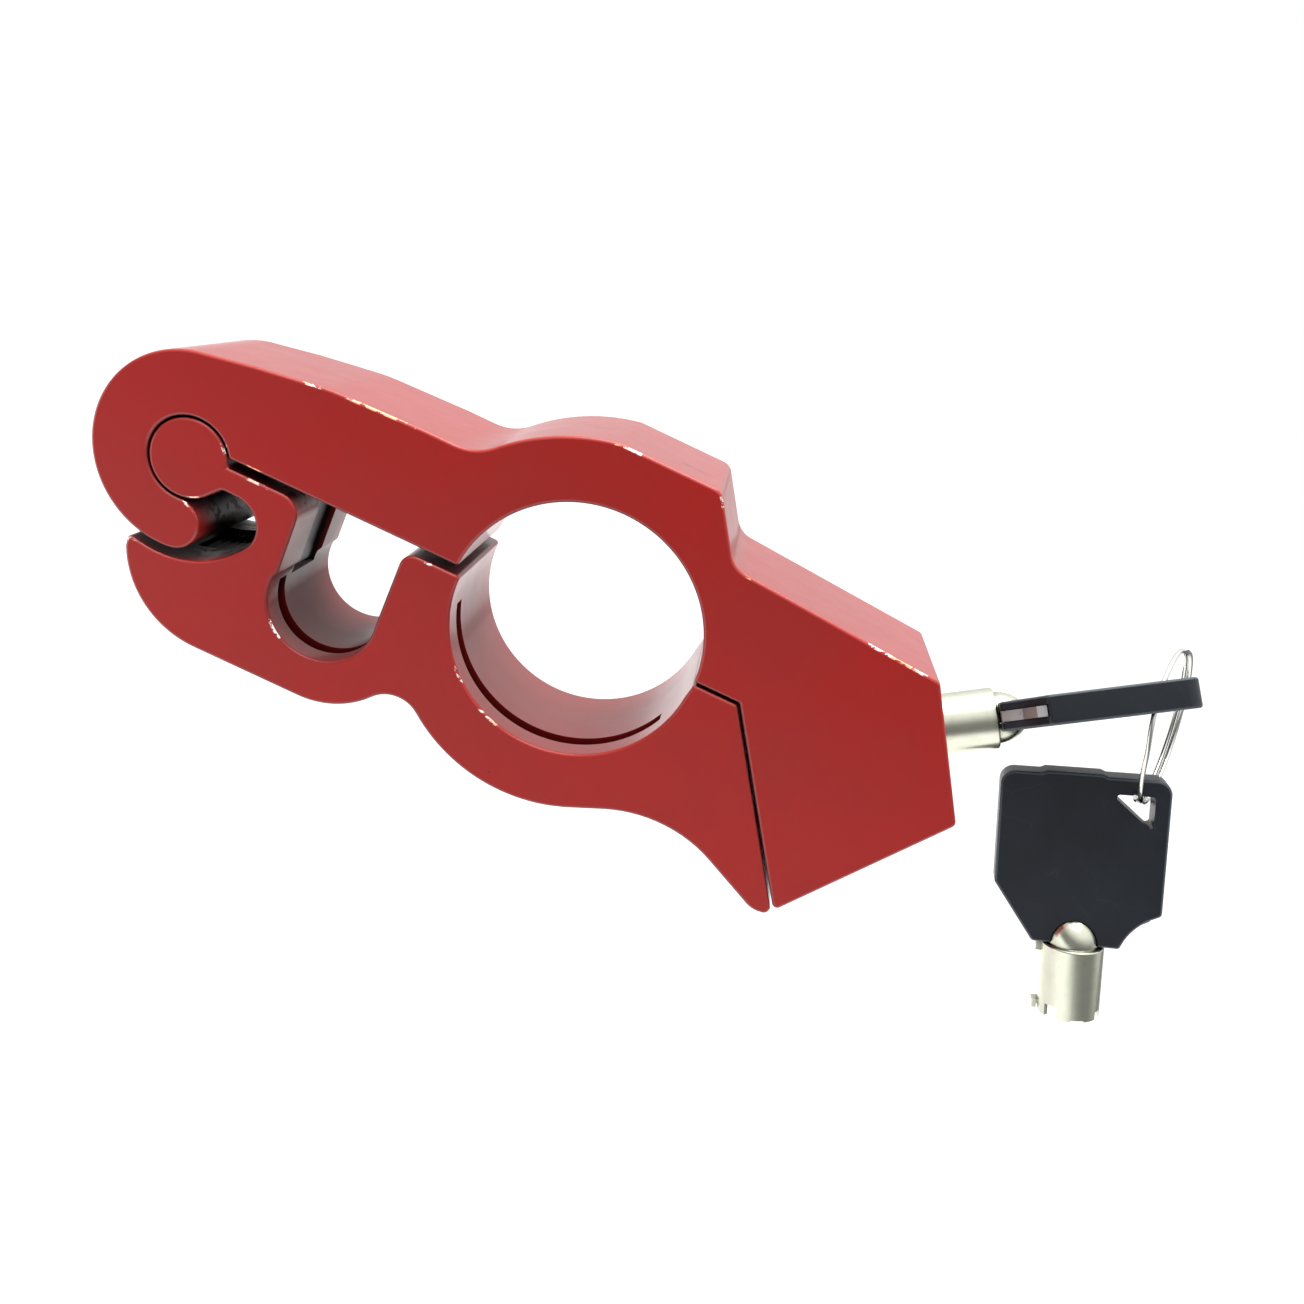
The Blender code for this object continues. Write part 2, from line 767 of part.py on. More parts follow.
def bow_outline():
    """The bow: a straight chamfer on one side, a hollow one on the other, a low step on top."""
    hollow = arc(15.2, -2.6, 9.0, 120, 152, 12)
    return chain(
        [
            (-6.2, 0.15),
            (-BOW_HALF, 9.2, 0.8),
            (-BOW_HALF, BOW_LENGTH, 2.2),
            (-6.4, BOW_LENGTH),
            (-5.6, BOW_LENGTH + 0.35),
            (2.4, BOW_LENGTH + 0.35),
            (3.2, BOW_LENGTH),
            (BOW_HALF, BOW_LENGTH, 2.2),
            (BOW_HALF, 6.0, 0.8),
        ]
        + hollow
        + [(6.6, 0.15)]
    )


def blank_outline():
    low = 0.25
    return [
        (-6.0, low),
        (-10.0, BLANK_STEP),
        (-8.0, BLANK_STEP),
        (-8.0, 18.5),
        (8.0, 18.5),
        (8.0, BLANK_STEP),
        (11.6, BLANK_STEP),
        (10.8, 4.6),
        (8.0, 3.0),
        (6.4, low),
    ]


CHAMBER = [
    (-14, -1),
    (-14, BLANK_STEP + 0.15),
    (-8.15, BLANK_STEP + 0.15),
    (-8.15, 18.7),
    (8.15, 18.7),
    (8.15, BLANK_STEP + 0.15),
    (14, BLANK_STEP + 0.15),
    (14, -1),
]
FLAT_ON = frame((1, 0, 0), (0, 0, 1), (0, -1, 0), (0, 0, 0))


def build_key(prefix, place):
    """A steel tube with a domed shoulder, a steel blank and a plastic bow."""
    slab = place @ FLAT_ON
    half = BOW_THICK / 2
    barrel = build_barrel(f"{prefix}_barrel", place)
    lug = [(-5.55, -0.95), (-4.2, -0.95), (-4.2, 0.95), (-5.55, 0.95)]
    tip_lug = prism(f"{prefix}_tip_lug", [lug], 0.3 - TUBE_LENGTH, 1.6 - TUBE_LENGTH, place)
    top_lug = prism(f"{prefix}_top_lug", [lug], -1.6, -0.2, place)
    dome_slot = prism(
        f"{prefix}_dome_slot", [[(-5, 0.1), (5, 0.1), (5, 6), (-5, 6)]], -0.95, 0.95, slab
    )
    join(barrel, tip_lug, top_lug)
    cut(barrel, dome_slot)
    for i, turn in enumerate(PIN_DEGS):
        here = place @ turned_by(turn - KEY_TURN_DEG) @ shifted(PIN_CIRCLE + 0.15, 0)
        top = CUT_DEPTHS[i] - TUBE_LENGTH
        cut(barrel, cylinder(f"{prefix}_cut_{i + 1}", 1.1, -TUBE_LENGTH - 1, top, here, sides=16))
    thin = BLANK_THICK / 2
    blank = prism(f"{prefix}_blank", [blank_outline()], -thin, thin, slab, HARD)
    bow = prism(f"{prefix}_bow", [bow_outline()], -half, half, slab, PLASTIC)
    round_edges(bow, 0.35)
    chamber = prism(f"{prefix}_chamber", [CHAMBER], -thin - 0.13, thin + 0.13, slab)
    dome_room = turned(
        f"{prefix}_dome_room",
        [
            (
                (DOME_R + 0.15) * math.cos(math.radians(a)),
                (DOME_HEIGHT + 0.15) * math.sin(math.radians(a)),
            )
            if a < 90
            else (0, DOME_HEIGHT + 0.15)
            for a in range(90, -1, -15)
        ]
        + [(DOME_R + 0.15, -1), (0, -1)],
        place,
    )
    corners = [(*corner, 0.5) for corner in RING_HOLE]
    ring_hole = prism(f"{prefix}_ring_hole", [chain(corners)], -5, 5, slab)
    cut(bow, chamber, dome_room, ring_hole)
    return [barrel, blank, bow]


key_pieces = build_key("key", KEY)

# ------------------------------------------------------------------ ring and spare key


def key_point(place, x, y, z):
    return place @ (Vector((x, y, z)) * MM) / MM


IN_HOLE = key_point(KEY, 9.0, 0, 22.0)
PAST_END = key_point(KEY, -11.0, 0, BOW_LENGTH + 3.1)
chord = PAST_END - IN_HOLE
DOWN = Vector((0, 0, -1))
hang = (DOWN - chord.normalized() * DOWN.dot(chord.normalized())).normalized()
hang.rotate(Matrix.Rotation(math.radians(-RING_SWING), 3, chord))
drop = math.sqrt(RING_R**2 - (chord.length / 2) ** 2)
ring_centre = (IN_HOLE + PAST_END) / 2 + hang * drop
ring_normal = chord.normalized().cross(hang)
lowest = (DOWN - ring_normal * DOWN.dot(ring_normal)).normalized()
level = ring_normal.cross(lowest)


def ring_offset(turn):
    """Two flat turns side by side, with one short crossing between them."""
    crossing = min(1.0, max(0.0, (turn - 340) / 40))
    return (crossing - 0.5) * RING_PITCH


ring_path = []
for j in range(7, 55):
    turn = j * 12
    angle = math.radians(turn + 100)
    at = ring_centre + (lowest * math.cos(angle) + level * math.sin(angle)) * RING_R
    ring_path.append(at + ring_normal * ring_offset(turn))
split_ring = wire("split_ring", ring_path, RING_WIRE, NICKEL)

hook_point = ring_centre + lowest * RING_R
spare_axes = (
    Matrix.Rotation(math.radians(SPARE_TILT), 4, "Y")
    @ Matrix.Rotation(math.radians(SPARE_LEAN), 4, "X")
    @ Matrix.Rotation(math.radians(SPARE_YAW), 4, "Z")
)
hole_at = spare_axes @ Vector((8.8, 1.7, 22.8))
SPARE = Matrix.Translation((hook_point - hole_at) * MM) @ spare_axes
spare_pieces = build_key("spare", SPARE)

# ------------------------------------------------------------------ axes of the moving pieces
hinge_axis = axis_empty("hinge_axis", frame((1, 0, 0), (0, 0, 1), (0, -1, 0), (0, MIDDLE, 0)))
turn_axis = axis_empty("turn_axis", LOCK)
bolt_axis = axis_empty("bolt_axis", LOCK)
slide_axis = axis_empty("slide_axis", KEY)
ring_axis = axis_empty("ring_axis", Matrix.Translation(IN_HOLE * MM))
spare_axis = axis_empty("spare_axis", Matrix.Translation(hook_point * MM))
carry(hinge_axis, lower_jaw, core_plate, core_rivet)
carry(turn_axis, rotor, drive_barrel, barrel_screw, *key_pins)
carry(bolt_axis, bolt, drive_pin)
carry(slide_axis, *key_pieces)
carry(ring_axis, split_ring)
carry(spare_axis, *spare_pieces)
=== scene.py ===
"""Looks for the two-jaw clamp lock: finer meshes of the visible pieces, materials and studio."""
import math

import bmesh
import bpy
from mathutils import Matrix, Vector


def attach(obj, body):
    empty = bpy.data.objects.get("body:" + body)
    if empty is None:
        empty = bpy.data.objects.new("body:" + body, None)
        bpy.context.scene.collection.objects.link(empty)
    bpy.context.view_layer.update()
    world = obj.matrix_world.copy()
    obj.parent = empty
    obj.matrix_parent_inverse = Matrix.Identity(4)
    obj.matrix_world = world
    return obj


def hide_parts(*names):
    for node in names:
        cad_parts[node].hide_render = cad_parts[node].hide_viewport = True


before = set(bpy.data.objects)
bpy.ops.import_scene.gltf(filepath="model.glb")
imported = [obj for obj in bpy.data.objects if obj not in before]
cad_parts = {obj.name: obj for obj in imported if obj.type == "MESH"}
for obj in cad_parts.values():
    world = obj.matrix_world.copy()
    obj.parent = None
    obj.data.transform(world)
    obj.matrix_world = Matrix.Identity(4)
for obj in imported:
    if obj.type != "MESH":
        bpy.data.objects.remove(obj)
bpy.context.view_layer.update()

MM = 0.001
THICKNESS = 25.0
MIDDLE = THICKNESS / 2

# ------------------------------------------------------------------ shader nodes


class Shader:
    """A material's node tree, with short ways to add and join nodes."""

    def __init__(self, name):
        self.material = bpy.data.materials.new(name)
        self.material.use_nodes = True
        self.tree = self.material.node_tree
        self.out = self.tree.nodes["Principled BSDF"]

    def add(self, kind, settings=None, **inputs):
        node = self.tree.nodes.new(kind)
        for name, value in (settings or {}).items():
            setattr(node, name, value)
        for name, value in inputs.items():
            self.put(node, name, value)
        return node

    def put(self, node, name, value):
        key = int(name[1:]) if name[0] == "i" and name[1:].isdigit() else name
        if isinstance(value, bpy.types.NodeSocket):
            self.tree.links.new(value, node.inputs[key])
        else:
            node.inputs[key].default_value = value

    def math(self, operation, a, b=0.0, clamp=False):
        settings = {"operation": operation, "use_clamp": clamp}
        return self.add("ShaderNodeMath", settings, i0=a, i1=b).outputs[0]

    def times(self, a, b):
        return self.math("MULTIPLY", a, b)

    def without(self, value):
        """1 where the value is 0, and 0 where it is 1."""
        return self.math("SUBTRACT", 1.0, value)

    def ramp(self, value, low, high):
        """0 below low, 1 above high, smooth between."""
        settings = {"interpolation_type": "SMOOTHSTEP"}
        node = self.add("ShaderNodeMapRange", settings, Value=value)
        node.inputs["From Min"].default_value = low
        node.inputs["From Max"].default_value = high
        return node.outputs[0]

    def spread(self, value, low, high):
        """The value, from 0 to 1, spread from low to high."""
        node = self.add("ShaderNodeMapRange", None, Value=value)
        node.inputs["To Min"].default_value = low
        node.inputs["To Max"].default_value = high
        return node.outputs[0]

    def mix(self, factor, one, two):
        node = self.add("ShaderNodeMix", {"data_type": "RGBA"})
        self.put(node, "Factor", factor)
        self.put(node, "i6", one)
        self.put(node, "i7", two)
        return node.outputs[2]

    def noise(self, place, scale, detail=2.0, roughness=0.5, distortion=0.0):
        node = self.add("ShaderNodeTexNoise", None, Vector=place, Scale=scale, Detail=detail)
        node.inputs["Roughness"].default_value = roughness
        node.inputs["Distortion"].default_value = distortion
        return node.outputs[0]

    def bump(self, height, strength, distance, normal=None):
        node = self.add("ShaderNodeBump", None, Height=height, Strength=strength)
        node.inputs["Distance"].default_value = distance
        if normal:
            self.put(node, "Normal", normal)
        return node.outputs[0]

    def place(self):
        return self.add("ShaderNodeTexCoord").outputs["Object"]

    def stretch(self, place, scale):
        node = self.add("ShaderNodeMapping", None, Vector=place)
        node.inputs["Scale"].default_value = scale
        return node.outputs[0]

    def parts(self, vector):
        return self.add("ShaderNodeSeparateXYZ", None, i0=vector).outputs

    def ball(self, place, centre, radius):
        """1 at the centre, 0 beyond the radius, both in millimetres."""
        node = self.add("ShaderNodeVectorMath", {"operation": "DISTANCE"}, i0=place)
        node.inputs[1].default_value = [c * MM for c in centre]
        return self.without(self.ramp(node.outputs["Value"], 0.35 * radius * MM, radius * MM))

    def set(self, **inputs):
        for name, value in inputs.items():
            self.put(self.out, name.replace("_", " "), value)


def grey(value):
    return (value, value, value, 1.0)


# Where the paint is rubbed through along the edges, (x, y, z) and radius in millimetres
WORN_SPOTS = (
    ((23.0, 0.0, 18.5), 8.0),
    ((13.5, 0.0, 18.2), 2.5),
    ((104.0, 0.0, 17.6), 7.5),
    ((79.5, 0.0, 19.8), 1.8),
    ((57.0, 0.0, 28.5), 3.6),
    ((72.0, 0.0, 27.6), 1.6),
    ((10.0, 0.0, 1.3), 3.6),
    ((3.0, 0.0, -6.0), 3.0),
    ((48.0, 0.0, -12.5), 2.6),
    ((54.0, 0.0, -16.8), 3.4),
    ((20.0, 0.0, -18.6), 2.6),
    ((37.0, 0.0, 1.3), 1.6),
    ((4.5, 0.0, 3.6), 1.4),
    ((-4.6, 0.0, -14.8), 1.5),
    ((63.0, 25.0, 28.6), 5.0),
    ((20.0, 25.0, 18.5), 6.0),
    ((100.0, 25.0, 18.0), 5.0),
)

# The paint's colours, those of what lies on and under it, and the colours of painted highlight and
# painted shade
PAINT = {
    "base": (0.268, 0.0070, 0.0048, 1),
    "cloud": (0.238, 0.0100, 0.0078, 1),
    "blotch": (0.205, 0.005, 0.004, 1),
    "hook": (0.275, 0.013, 0.012, 1),
    "lit_edge": (0.55, 0.030, 0.018, 1),
    "shaded_edge": (0.055, 0.005, 0.008, 1),
    "pinhole": (0.03, 0.004, 0.006, 1),
    "dust": (0.55, 0.16, 0.13, 1),
    "shade_and_dirt": (0.020, 0.0015, 0.003, 1),
    "slot_shade": (0.075, 0.022, 0.022, 1),
    "pocket_shade": (0.009, 0.004, 0.005, 1),
    "bare": (0.42, 0.40, 0.39, 1),
    "chip": (0.95, 0.93, 0.90, 1),
    "primer": (0.95, 0.42, 0.22, 1),
    "scuff": (0.09, 0.008, 0.01, 1),
}


def red_paint():
    s = Shader("red_paint_sprayed")
    place = s.place()
    cloud = s.noise(place, 38.0, 3.0)
    blotch = s.noise(place, 210.0, 4.0, 0.6)
    colour = s.mix(s.ramp(cloud, 0.35, 0.7), PAINT["base"], PAINT["cloud"])
    colour = s.mix(s.spread(blotch, 0.0, 0.22), colour, PAINT["blotch"])
    x, y, z = s.parts(place)[:3]
    left = s.without(s.ramp(x, -0.016, 0.03))
    colour = s.mix(s.times(left, 0.45), colour, PAINT["hook"])

    normal = s.add("ShaderNodeNewGeometry").outputs["Normal"]
    ny = s.math("ABSOLUTE", s.parts(normal)[1])
    nz = s.parts(normal)[2]
    edge = s.times(s.ramp(ny, 0.06, 0.25), s.without(s.ramp(ny, 0.93, 0.995)))

    # Painted highlight and shade: upper edges are painted brighter, as if lit from above, and lower edges
    # are painted darker, as shade.
    upper = s.times(edge, s.ramp(nz, 0.15, 0.6))
    colour = s.mix(s.times(upper, 0.45), colour, PAINT["lit_edge"])
    lower = s.times(edge, s.without(s.ramp(nz, -0.75, -0.1)))
    colour = s.mix(s.times(lower, 0.8), colour, PAINT["shaded_edge"])

    # Specks of dust under the paint and pinholes in it.
    grains = s.add("ShaderNodeTexVoronoi", None, Vector=place, Scale=330.0)
    rare = s.ramp(s.parts(grains.outputs["Color"])[0], 0.955, 0.965)
    near = s.without(s.ramp(grains.outputs["Distance"], 0.035, 0.075))
    speck = s.times(rare, near)
    light = s.ramp(s.parts(grains.outputs["Color"])[1], 0.45, 0.5)
    speck_colour = s.mix(light, PAINT["pinhole"], PAINT["dust"])
    colour = s.mix(s.times(speck, 0.65), colour, speck_colour)

    # Painted shade and dirt: gaps and grooves are darkened by ambient occlusion.
    hollow = s.add("ShaderNodeAmbientOcclusion", {"samples": 6})
    hollow.inputs["Distance"].default_value = 0.0035
    shade = s.math("POWER", hollow.outputs["AO"], 1.6)
    colour = s.mix(shade, PAINT["shade_and_dirt"], colour)

    # Painted shade: the lever slot's walls are painted darker and duller, as shade.
    flat = s.ramp(ny, 0.93, 1.0)
    slot_shade = s.times(s.ball(place, (25.5, 12.5, -9.0), 26.0), s.without(flat))
    slot_shade = s.times(slot_shade, s.without(s.ramp(z, -0.003, 0.002)))
    colour = s.mix(s.times(slot_shade, 0.75), colour, PAINT["slot_shade"])

    # Painted shade: the inside of the hinge's pocket and of the slot of the steel plate is painted nearly
    # black, with bare metal in places.
    depth = s.times(s.ramp(y, 0.001, 0.007), s.without(s.ramp(y, 0.0235, 0.0248)))
    depth = s.times(depth, s.without(s.ramp(x, 0.0166, 0.0174)))
    pocket_shade = s.times(s.ball(place, (7.5, 13.0, -8.0), 25.0), depth)
    colour = s.mix(s.times(pocket_shade, 0.97), colour, PAINT["pocket_shade"])
    bare = s.times(s.ramp(nz, 0.1, 0.5), s.ramp(s.noise(place, 520.0, 3.0), 0.44, 0.50))
    bare = s.times(s.times(pocket_shade, bare), s.ramp(x, 0.002, 0.006))
    colour = s.mix(s.times(bare, 0.9), colour, PAINT["bare"])

    # Chips along the rubbed edges show bright metal.
    zone = 0.0
    for centre, radius in WORN_SPOTS:
        zone = s.math("MAXIMUM", s.ball(place, centre, radius), zone)
    chips = s.noise(s.stretch(place, (0.45, 1.0, 0.8)), 1500.0, 5.0, 0.7)
    level = s.math("ADD", chips, s.times(zone, 0.26))
    chip = s.times(s.ramp(level, 0.735, 0.765), s.ramp(ny, 0.30, 0.50))
    chip = s.times(chip, s.without(s.ramp(ny, 0.90, 0.97)))
    chip = s.times(chip, s.ramp(nz, -0.72, -0.4))
    chip_colour = s.mix(s.ramp(blotch, 0.42, 0.58), PAINT["chip"], PAINT["primer"])
    colour = s.mix(chip, colour, chip_colour)

    # One dark scuff on the top of the hump.
    stretched = s.stretch(place, (1.0, 2.6, 1.0))
    scuff = s.ball(stretched, (66.5, 19.5, 28.7), 3.4)
    scuff = s.times(s.ramp(scuff, 0.45, 0.7), s.ramp(s.noise(place, 900.0, 3.0), 0.42, 0.55))
    colour = s.mix(s.times(scuff, 0.8), colour, PAINT["scuff"])

    peel = s.noise(place, 520.0, 2.0)
    waves = s.noise(place, 95.0, 1.0)
    normal = s.bump(waves, 0.14, 0.0006)
    normal = s.bump(peel, 0.08, 0.00010, normal)
    normal = s.bump(speck, 0.3, 0.00005, normal)
    normal = s.bump(chip, 0.5, -0.00006, normal)
    rough = s.spread(blotch, 0.30, 0.42)
    rough = s.math("ADD", rough, s.times(chip, 0.05))
    shiny = s.math("MAXIMUM", s.times(chip, 0.55), s.times(bare, 0.5))
    s.set(Base_Color=colour, Roughness=rough, Normal=normal, Metallic=shiny)
    # Coat and specular are lowered where the pocket and the lever slot are painted as shade, and on the
    # flat faces.
    dull = s.math("MAXIMUM", s.times(pocket_shade, 0.95), s.times(slot_shade, 0.75))
    dull = s.math("MAXIMUM", dull, s.times(flat, 0.72))
    s.set(Coat_Weight=s.spread(dull, 0.30, 0.0), Coat_Roughness=0.12)
    s.put(s.out, "Specular IOR Level", s.spread(dull, 0.42, 0.05))
    return s.material


def metal(name, colour, dark, roughness, line_scale, line_axis="Z", wear=0.25, polish=0.0):
    """Plated or bare metal with turned or drawn lines across line_axis, smears and small pits."""
    s = Shader(name)
    place = s.place()
    fine = {"X": (line_scale, 8, 8), "Y": (8, line_scale, 8), "Z": (8, 8, line_scale)}[line_axis]
    lines = s.noise(s.stretch(place, fine), 6.0, 4.0, 0.7)
    smear = s.noise(place, 260.0, 4.0, 0.6)
    pits = s.noise(place, 1500.0, 2.0)
    tone = s.mix(s.ramp(smear, 0.35, 0.75), (*colour, 1), (*[c * 0.9 for c in colour], 1))
    tone = s.mix(s.times(s.ramp(pits, 0.68, 0.74), wear), tone, (*dark, 1))
    # Painted shade: the tone is darkened in crevices by ambient occlusion.
    hollow = s.add("ShaderNodeAmbientOcclusion", {"samples": 4})
    hollow.inputs["Distance"].default_value = 0.0012
    tone = s.mix(s.math("POWER", hollow.outputs["AO"], 1.4), (*[c * 0.5 for c in dark], 1), tone)
    rough = s.spread(smear, roughness - 0.06, roughness + 0.08)
    rough = s.math("ADD", rough, s.spread(lines, -0.05 * (1 - polish), 0.06 * (1 - polish)))
    normal = s.bump(lines, 0.10 * (1 - polish), 0.00004)
    normal = s.bump(pits, 0.05, 0.00003, normal)
    s.set(Base_Color=tone, Metallic=1.0, Roughness=rough, Normal=normal)
    return s.material


def plastic():
    """Blue-black moulded plastic with a fine grain, light rubbed edges and a few hairline marks."""
    s = Shader("moulded_plastic")
    place = s.place()
    cloud = s.noise(place, 120.0, 3.0)
    colour = s.mix(s.ramp(cloud, 0.3, 0.7), (0.0048, 0.0068, 0.0105, 1), (0.0068, 0.0096, 0.0150, 1))
    diagonal = {"wave_type": "BANDS", "bands_direction": "DIAGONAL"}
    marks = s.add("ShaderNodeTexWave", diagonal, Vector=place)
    marks.inputs["Scale"].default_value = 90.0
    marks.inputs["Distortion"].default_value = 14.0
    marks.inputs["Detail"].default_value = 3.0
    line = s.times(s.ramp(marks.outputs[1], 0.985, 1.0), s.ramp(cloud, 0.5, 0.65))
    colour = s.mix(s.times(line, 0.05), colour, (0.09, 0.10, 0.11, 1))
    across = s.math("ABSOLUTE", s.parts(s.add("ShaderNodeTexCoord").outputs["Normal"])[2])
    rounded = s.times(s.ramp(across, 0.08, 0.3), s.without(s.ramp(across, 0.9, 0.99)))
    colour = s.mix(s.times(rounded, 0.6), colour, (0.07, 0.085, 0.10, 1))
    grain = s.noise(place, 2300.0, 2.0)
    normal = s.bump(grain, 0.12, 0.00004)
    normal = s.bump(cloud, 0.1, 0.0003, normal)
    s.set(Base_Color=colour, Roughness=s.spread(grain, 0.34, 0.48), Normal=normal)
    s.put(s.out, "Specular IOR Level", 0.30)
    return s.material


def floor_paint():
    """White to the camera; in reflections it darkens to the front and the right."""
    s = Shader("studio_floor")
    place = s.place()
    path = s.add("ShaderNodeLightPath")
    seen = path.outputs["Is Camera Ray"]
    mirrored = path.outputs["Is Glossy Ray"]
    x, y, z = s.parts(place)[:3]
    front = s.without(s.ramp(y, -0.40, -0.11))
    far = s.math("MAXIMUM", front, s.ramp(x, 0.26, 0.40))
    in_mirror = s.mix(far, grey(0.80), grey(0.18))
    colour = s.mix(mirrored, grey(0.85), in_mirror)
    colour = s.mix(seen, colour, grey(0.16))
    s.set(Base_Color=colour, Roughness=0.9, Emission_Color=grey(1.0))
    s.put(s.out, "Emission Strength", s.times(seen, 0.9))
    s.put(s.out, "Specular IOR Level", 0.0)
    return s.material


RED = red_paint()
NICKEL = metal("nickel_turned", (0.61, 0.62, 0.51), (0.22, 0.21, 0.15), 0.20, 900.0)
BRIGHT = metal("nickel_bright", (0.70, 0.70, 0.66), (0.20, 0.19, 0.17), 0.14, 300.0, "X", 0.15, 0.7)
STEEL = metal("steel_turned", (0.56, 0.55, 0.53), (0.16, 0.14, 0.12), 0.34, 700.0)
BURNT = metal("steel_blackened", (0.045, 0.043, 0.042), (0.02, 0.02, 0.02), 0.45, 420.0, "X", 0.7)
HARD = metal("steel_stamped", (0.42, 0.42, 0.42), (0.05, 0.045, 0.04), 0.52, 420.0, "X", 0.7)
BRASS = metal("brass_turned", (0.80, 0.60, 0.26), (0.22, 0.13, 0.05), 0.28, 800.0)
PLASTIC = plastic()

# ------------------------------------------------------------------ frames


def axes(x_axis, y_axis, z_axis, origin):
    turned_axes = Matrix((x_axis, y_axis, z_axis)).transposed().to_4x4()
    return Matrix.Translation(Vector(origin) * MM) @ turned_axes


def turned_by(degrees):
    return Matrix.Rotation(math.radians(degrees), 4, "Z")


def shifted(x, y, z=0.0):
    return Matrix.Translation((x * MM, y * MM, z * MM))


FRONT = axes((1, 0, 0), (0, 0, 1), (0, -1, 0), (0, 0, 0))
LOCK_DEG = 34.5
LOCK_ORIGIN = (116.9, MIDDLE, 8.2)
OUT = Vector((math.cos(math.radians(LOCK_DEG)), 0, math.sin(math.radians(LOCK_DEG))))
DEPTH = Vector((0, 1, 0))
ACROSS = OUT.cross(DEPTH)
LOCK = axes(DEPTH, ACROSS, OUT, LOCK_ORIGIN)
SHOULDER_S = 8.6
KEY_TURN_DEG = 157.5
KEY = LOCK @ shifted(0, 0, SHOULDER_S) @ turned_by(KEY_TURN_DEG)

# ------------------------------------------------------------------ outlines


def polar(radius, degrees, centre=(0.0, 0.0)):
    angle = math.radians(degrees)
    return (centre[0] + radius * math.cos(angle), centre[1] + radius * math.sin(angle))


def arc(x, y, radius, start, end, step=2.5):
    count = max(2, math.ceil(abs(end - start) / step))
    turns = [start + (end - start) * i / count for i in range(count + 1)]
    return [polar(radius, turn, (x, y)) for turn in turns]


def fillet(before, corner, after, radius):
    here = Vector(corner)
    to_before = (Vector(before) - here).normalized()
    to_after = (Vector(after) - here).normalized()
    half = to_before.angle(to_after) / 2
    middle = here + (to_before + to_after).normalized() * radius / math.sin(half)
    start = here + to_before * radius / math.tan(half) - middle
    end = here + to_after * radius / math.tan(half) - middle
    sweep = start.angle_signed(end)
    count = max(2, math.ceil(math.degrees(abs(sweep)) / (4 if radius > 2 else 9)))
    first = math.atan2(start.y, start.x)
    return [
        (
            middle.x + radius * math.cos(first - sweep * i / count),
            middle.y + radius * math.sin(first - sweep * i / count),
        )
        for i in range(count + 1)
    ]


def chain(points):
    """A line through points (x, y) or corners (x, y, radius), which are rounded."""
    line = []
    count = len(points)
    for i, point in enumerate(points):
        if len(point) == 2:
            line.append(point)
            continue
        before = points[(i - 1) % count]
        after = points[(i + 1) % count]
        line += fillet(before[:2], point[:2], after[:2], point[2])
    return line


def circle(radius, steps=64, centre=(0.0, 0.0)):
    return [polar(radius, 360 * i / steps, centre) for i in range(steps)]


def lock_point(s, e):
    point = Vector(LOCK_ORIGIN) + OUT * s + ACROSS * e
    return (point.x, point.z)


def on_line(s, z):
    e = (z - lock_point(s, 0)[1]) / ACROSS.z
    return lock_point(s, e)


# ------------------------------------------------------------------ meshes


def add_object(name, mesh, place):
    obj = bpy.data.objects.new(name, mesh)
    bpy.context.scene.collection.objects.link(obj)
    obj.matrix_world = place
    return obj


def settle(obj, clean=False):
    """Applies the object's modifiers, or turns a curve into a mesh."""
    bpy.context.view_layer.update()
    graph = bpy.context.evaluated_depsgraph_get()
    mesh = bpy.data.meshes.new_from_object(obj.evaluated_get(graph))
    if clean:
        work = bmesh.new()
        work.from_mesh(mesh)
        bmesh.ops.remove_doubles(work, verts=work.verts, dist=0.000001)
        bmesh.ops.dissolve_limit(work, angle_limit=0.0005, verts=work.verts, edges=work.edges)
        bmesh.ops.recalc_face_normals(work, faces=work.faces)
        work.to_mesh(mesh)
        work.free()
    name = obj.name
    place = obj.matrix_world.copy()
    bpy.data.objects.remove(obj, do_unlink=True)
    mesh.materials.clear()
    return add_object(name, mesh, place)


def whole_caps(mesh):
    """Makes each cap of a prism one face, so that no thin triangle folds over under a bevel."""
    work = bmesh.new()
    work.from_mesh(mesh)
    caps = {face for face in work.faces if len({v.co.z > 0 for v in face.verts}) == 1}
    inner = [e for e in work.edges if len(e.link_faces) == 2 and caps.issuperset(e.link_faces)]
    bmesh.ops.dissolve_edges(work, edges=inner, use_verts=False)
    work.to_mesh(mesh)
    work.free()


def prism(name, loops, low, high, place):
    curve = bpy.data.curves.new(name, "CURVE")
    curve.dimensions = "2D"
    curve.fill_mode = "BOTH"
    curve.extrude = (high - low) / 2 * MM
    for loop in loops:
        spline = curve.splines.new("POLY")
        spline.points.add(len(loop) - 1)
        for point, (x, y) in zip(spline.points, loop):
            point.co = (x * MM, y * MM, 0, 1)
        spline.use_cyclic_u = True
    obj = settle(add_object(name, curve, Matrix.Identity(4)), clean=True)
    whole_caps(obj.data)
    obj.data.transform(shifted(0, 0, (low + high) / 2))
    obj.matrix_world = place
    return obj


def plate(name, loops, front, back):
    return prism(name, loops, -back, -front, FRONT)


def turned(name, profile, place, steps=96):
    mesh = bpy.data.meshes.new(name)
    points = [(radius * MM, 0, z * MM) for radius, z in profile]
    mesh.from_pydata(points, [(i, i + 1) for i in range(len(points) - 1)], [])
    obj = add_object(name, mesh, Matrix.Identity(4))
    screw = obj.modifiers.new("turn", "SCREW")
    screw.axis = "Z"
    screw.steps = steps
    screw.render_steps = steps
    screw.use_merge_vertices = True
    screw.merge_threshold = 0.000001
    obj = settle(obj, clean=True)
    obj.matrix_world = place
    return obj


def rod(name, radius, low, high, place, sides=48):
    return turned(name, [(0, high), (radius, high), (radius, low), (0, low)], place, sides)


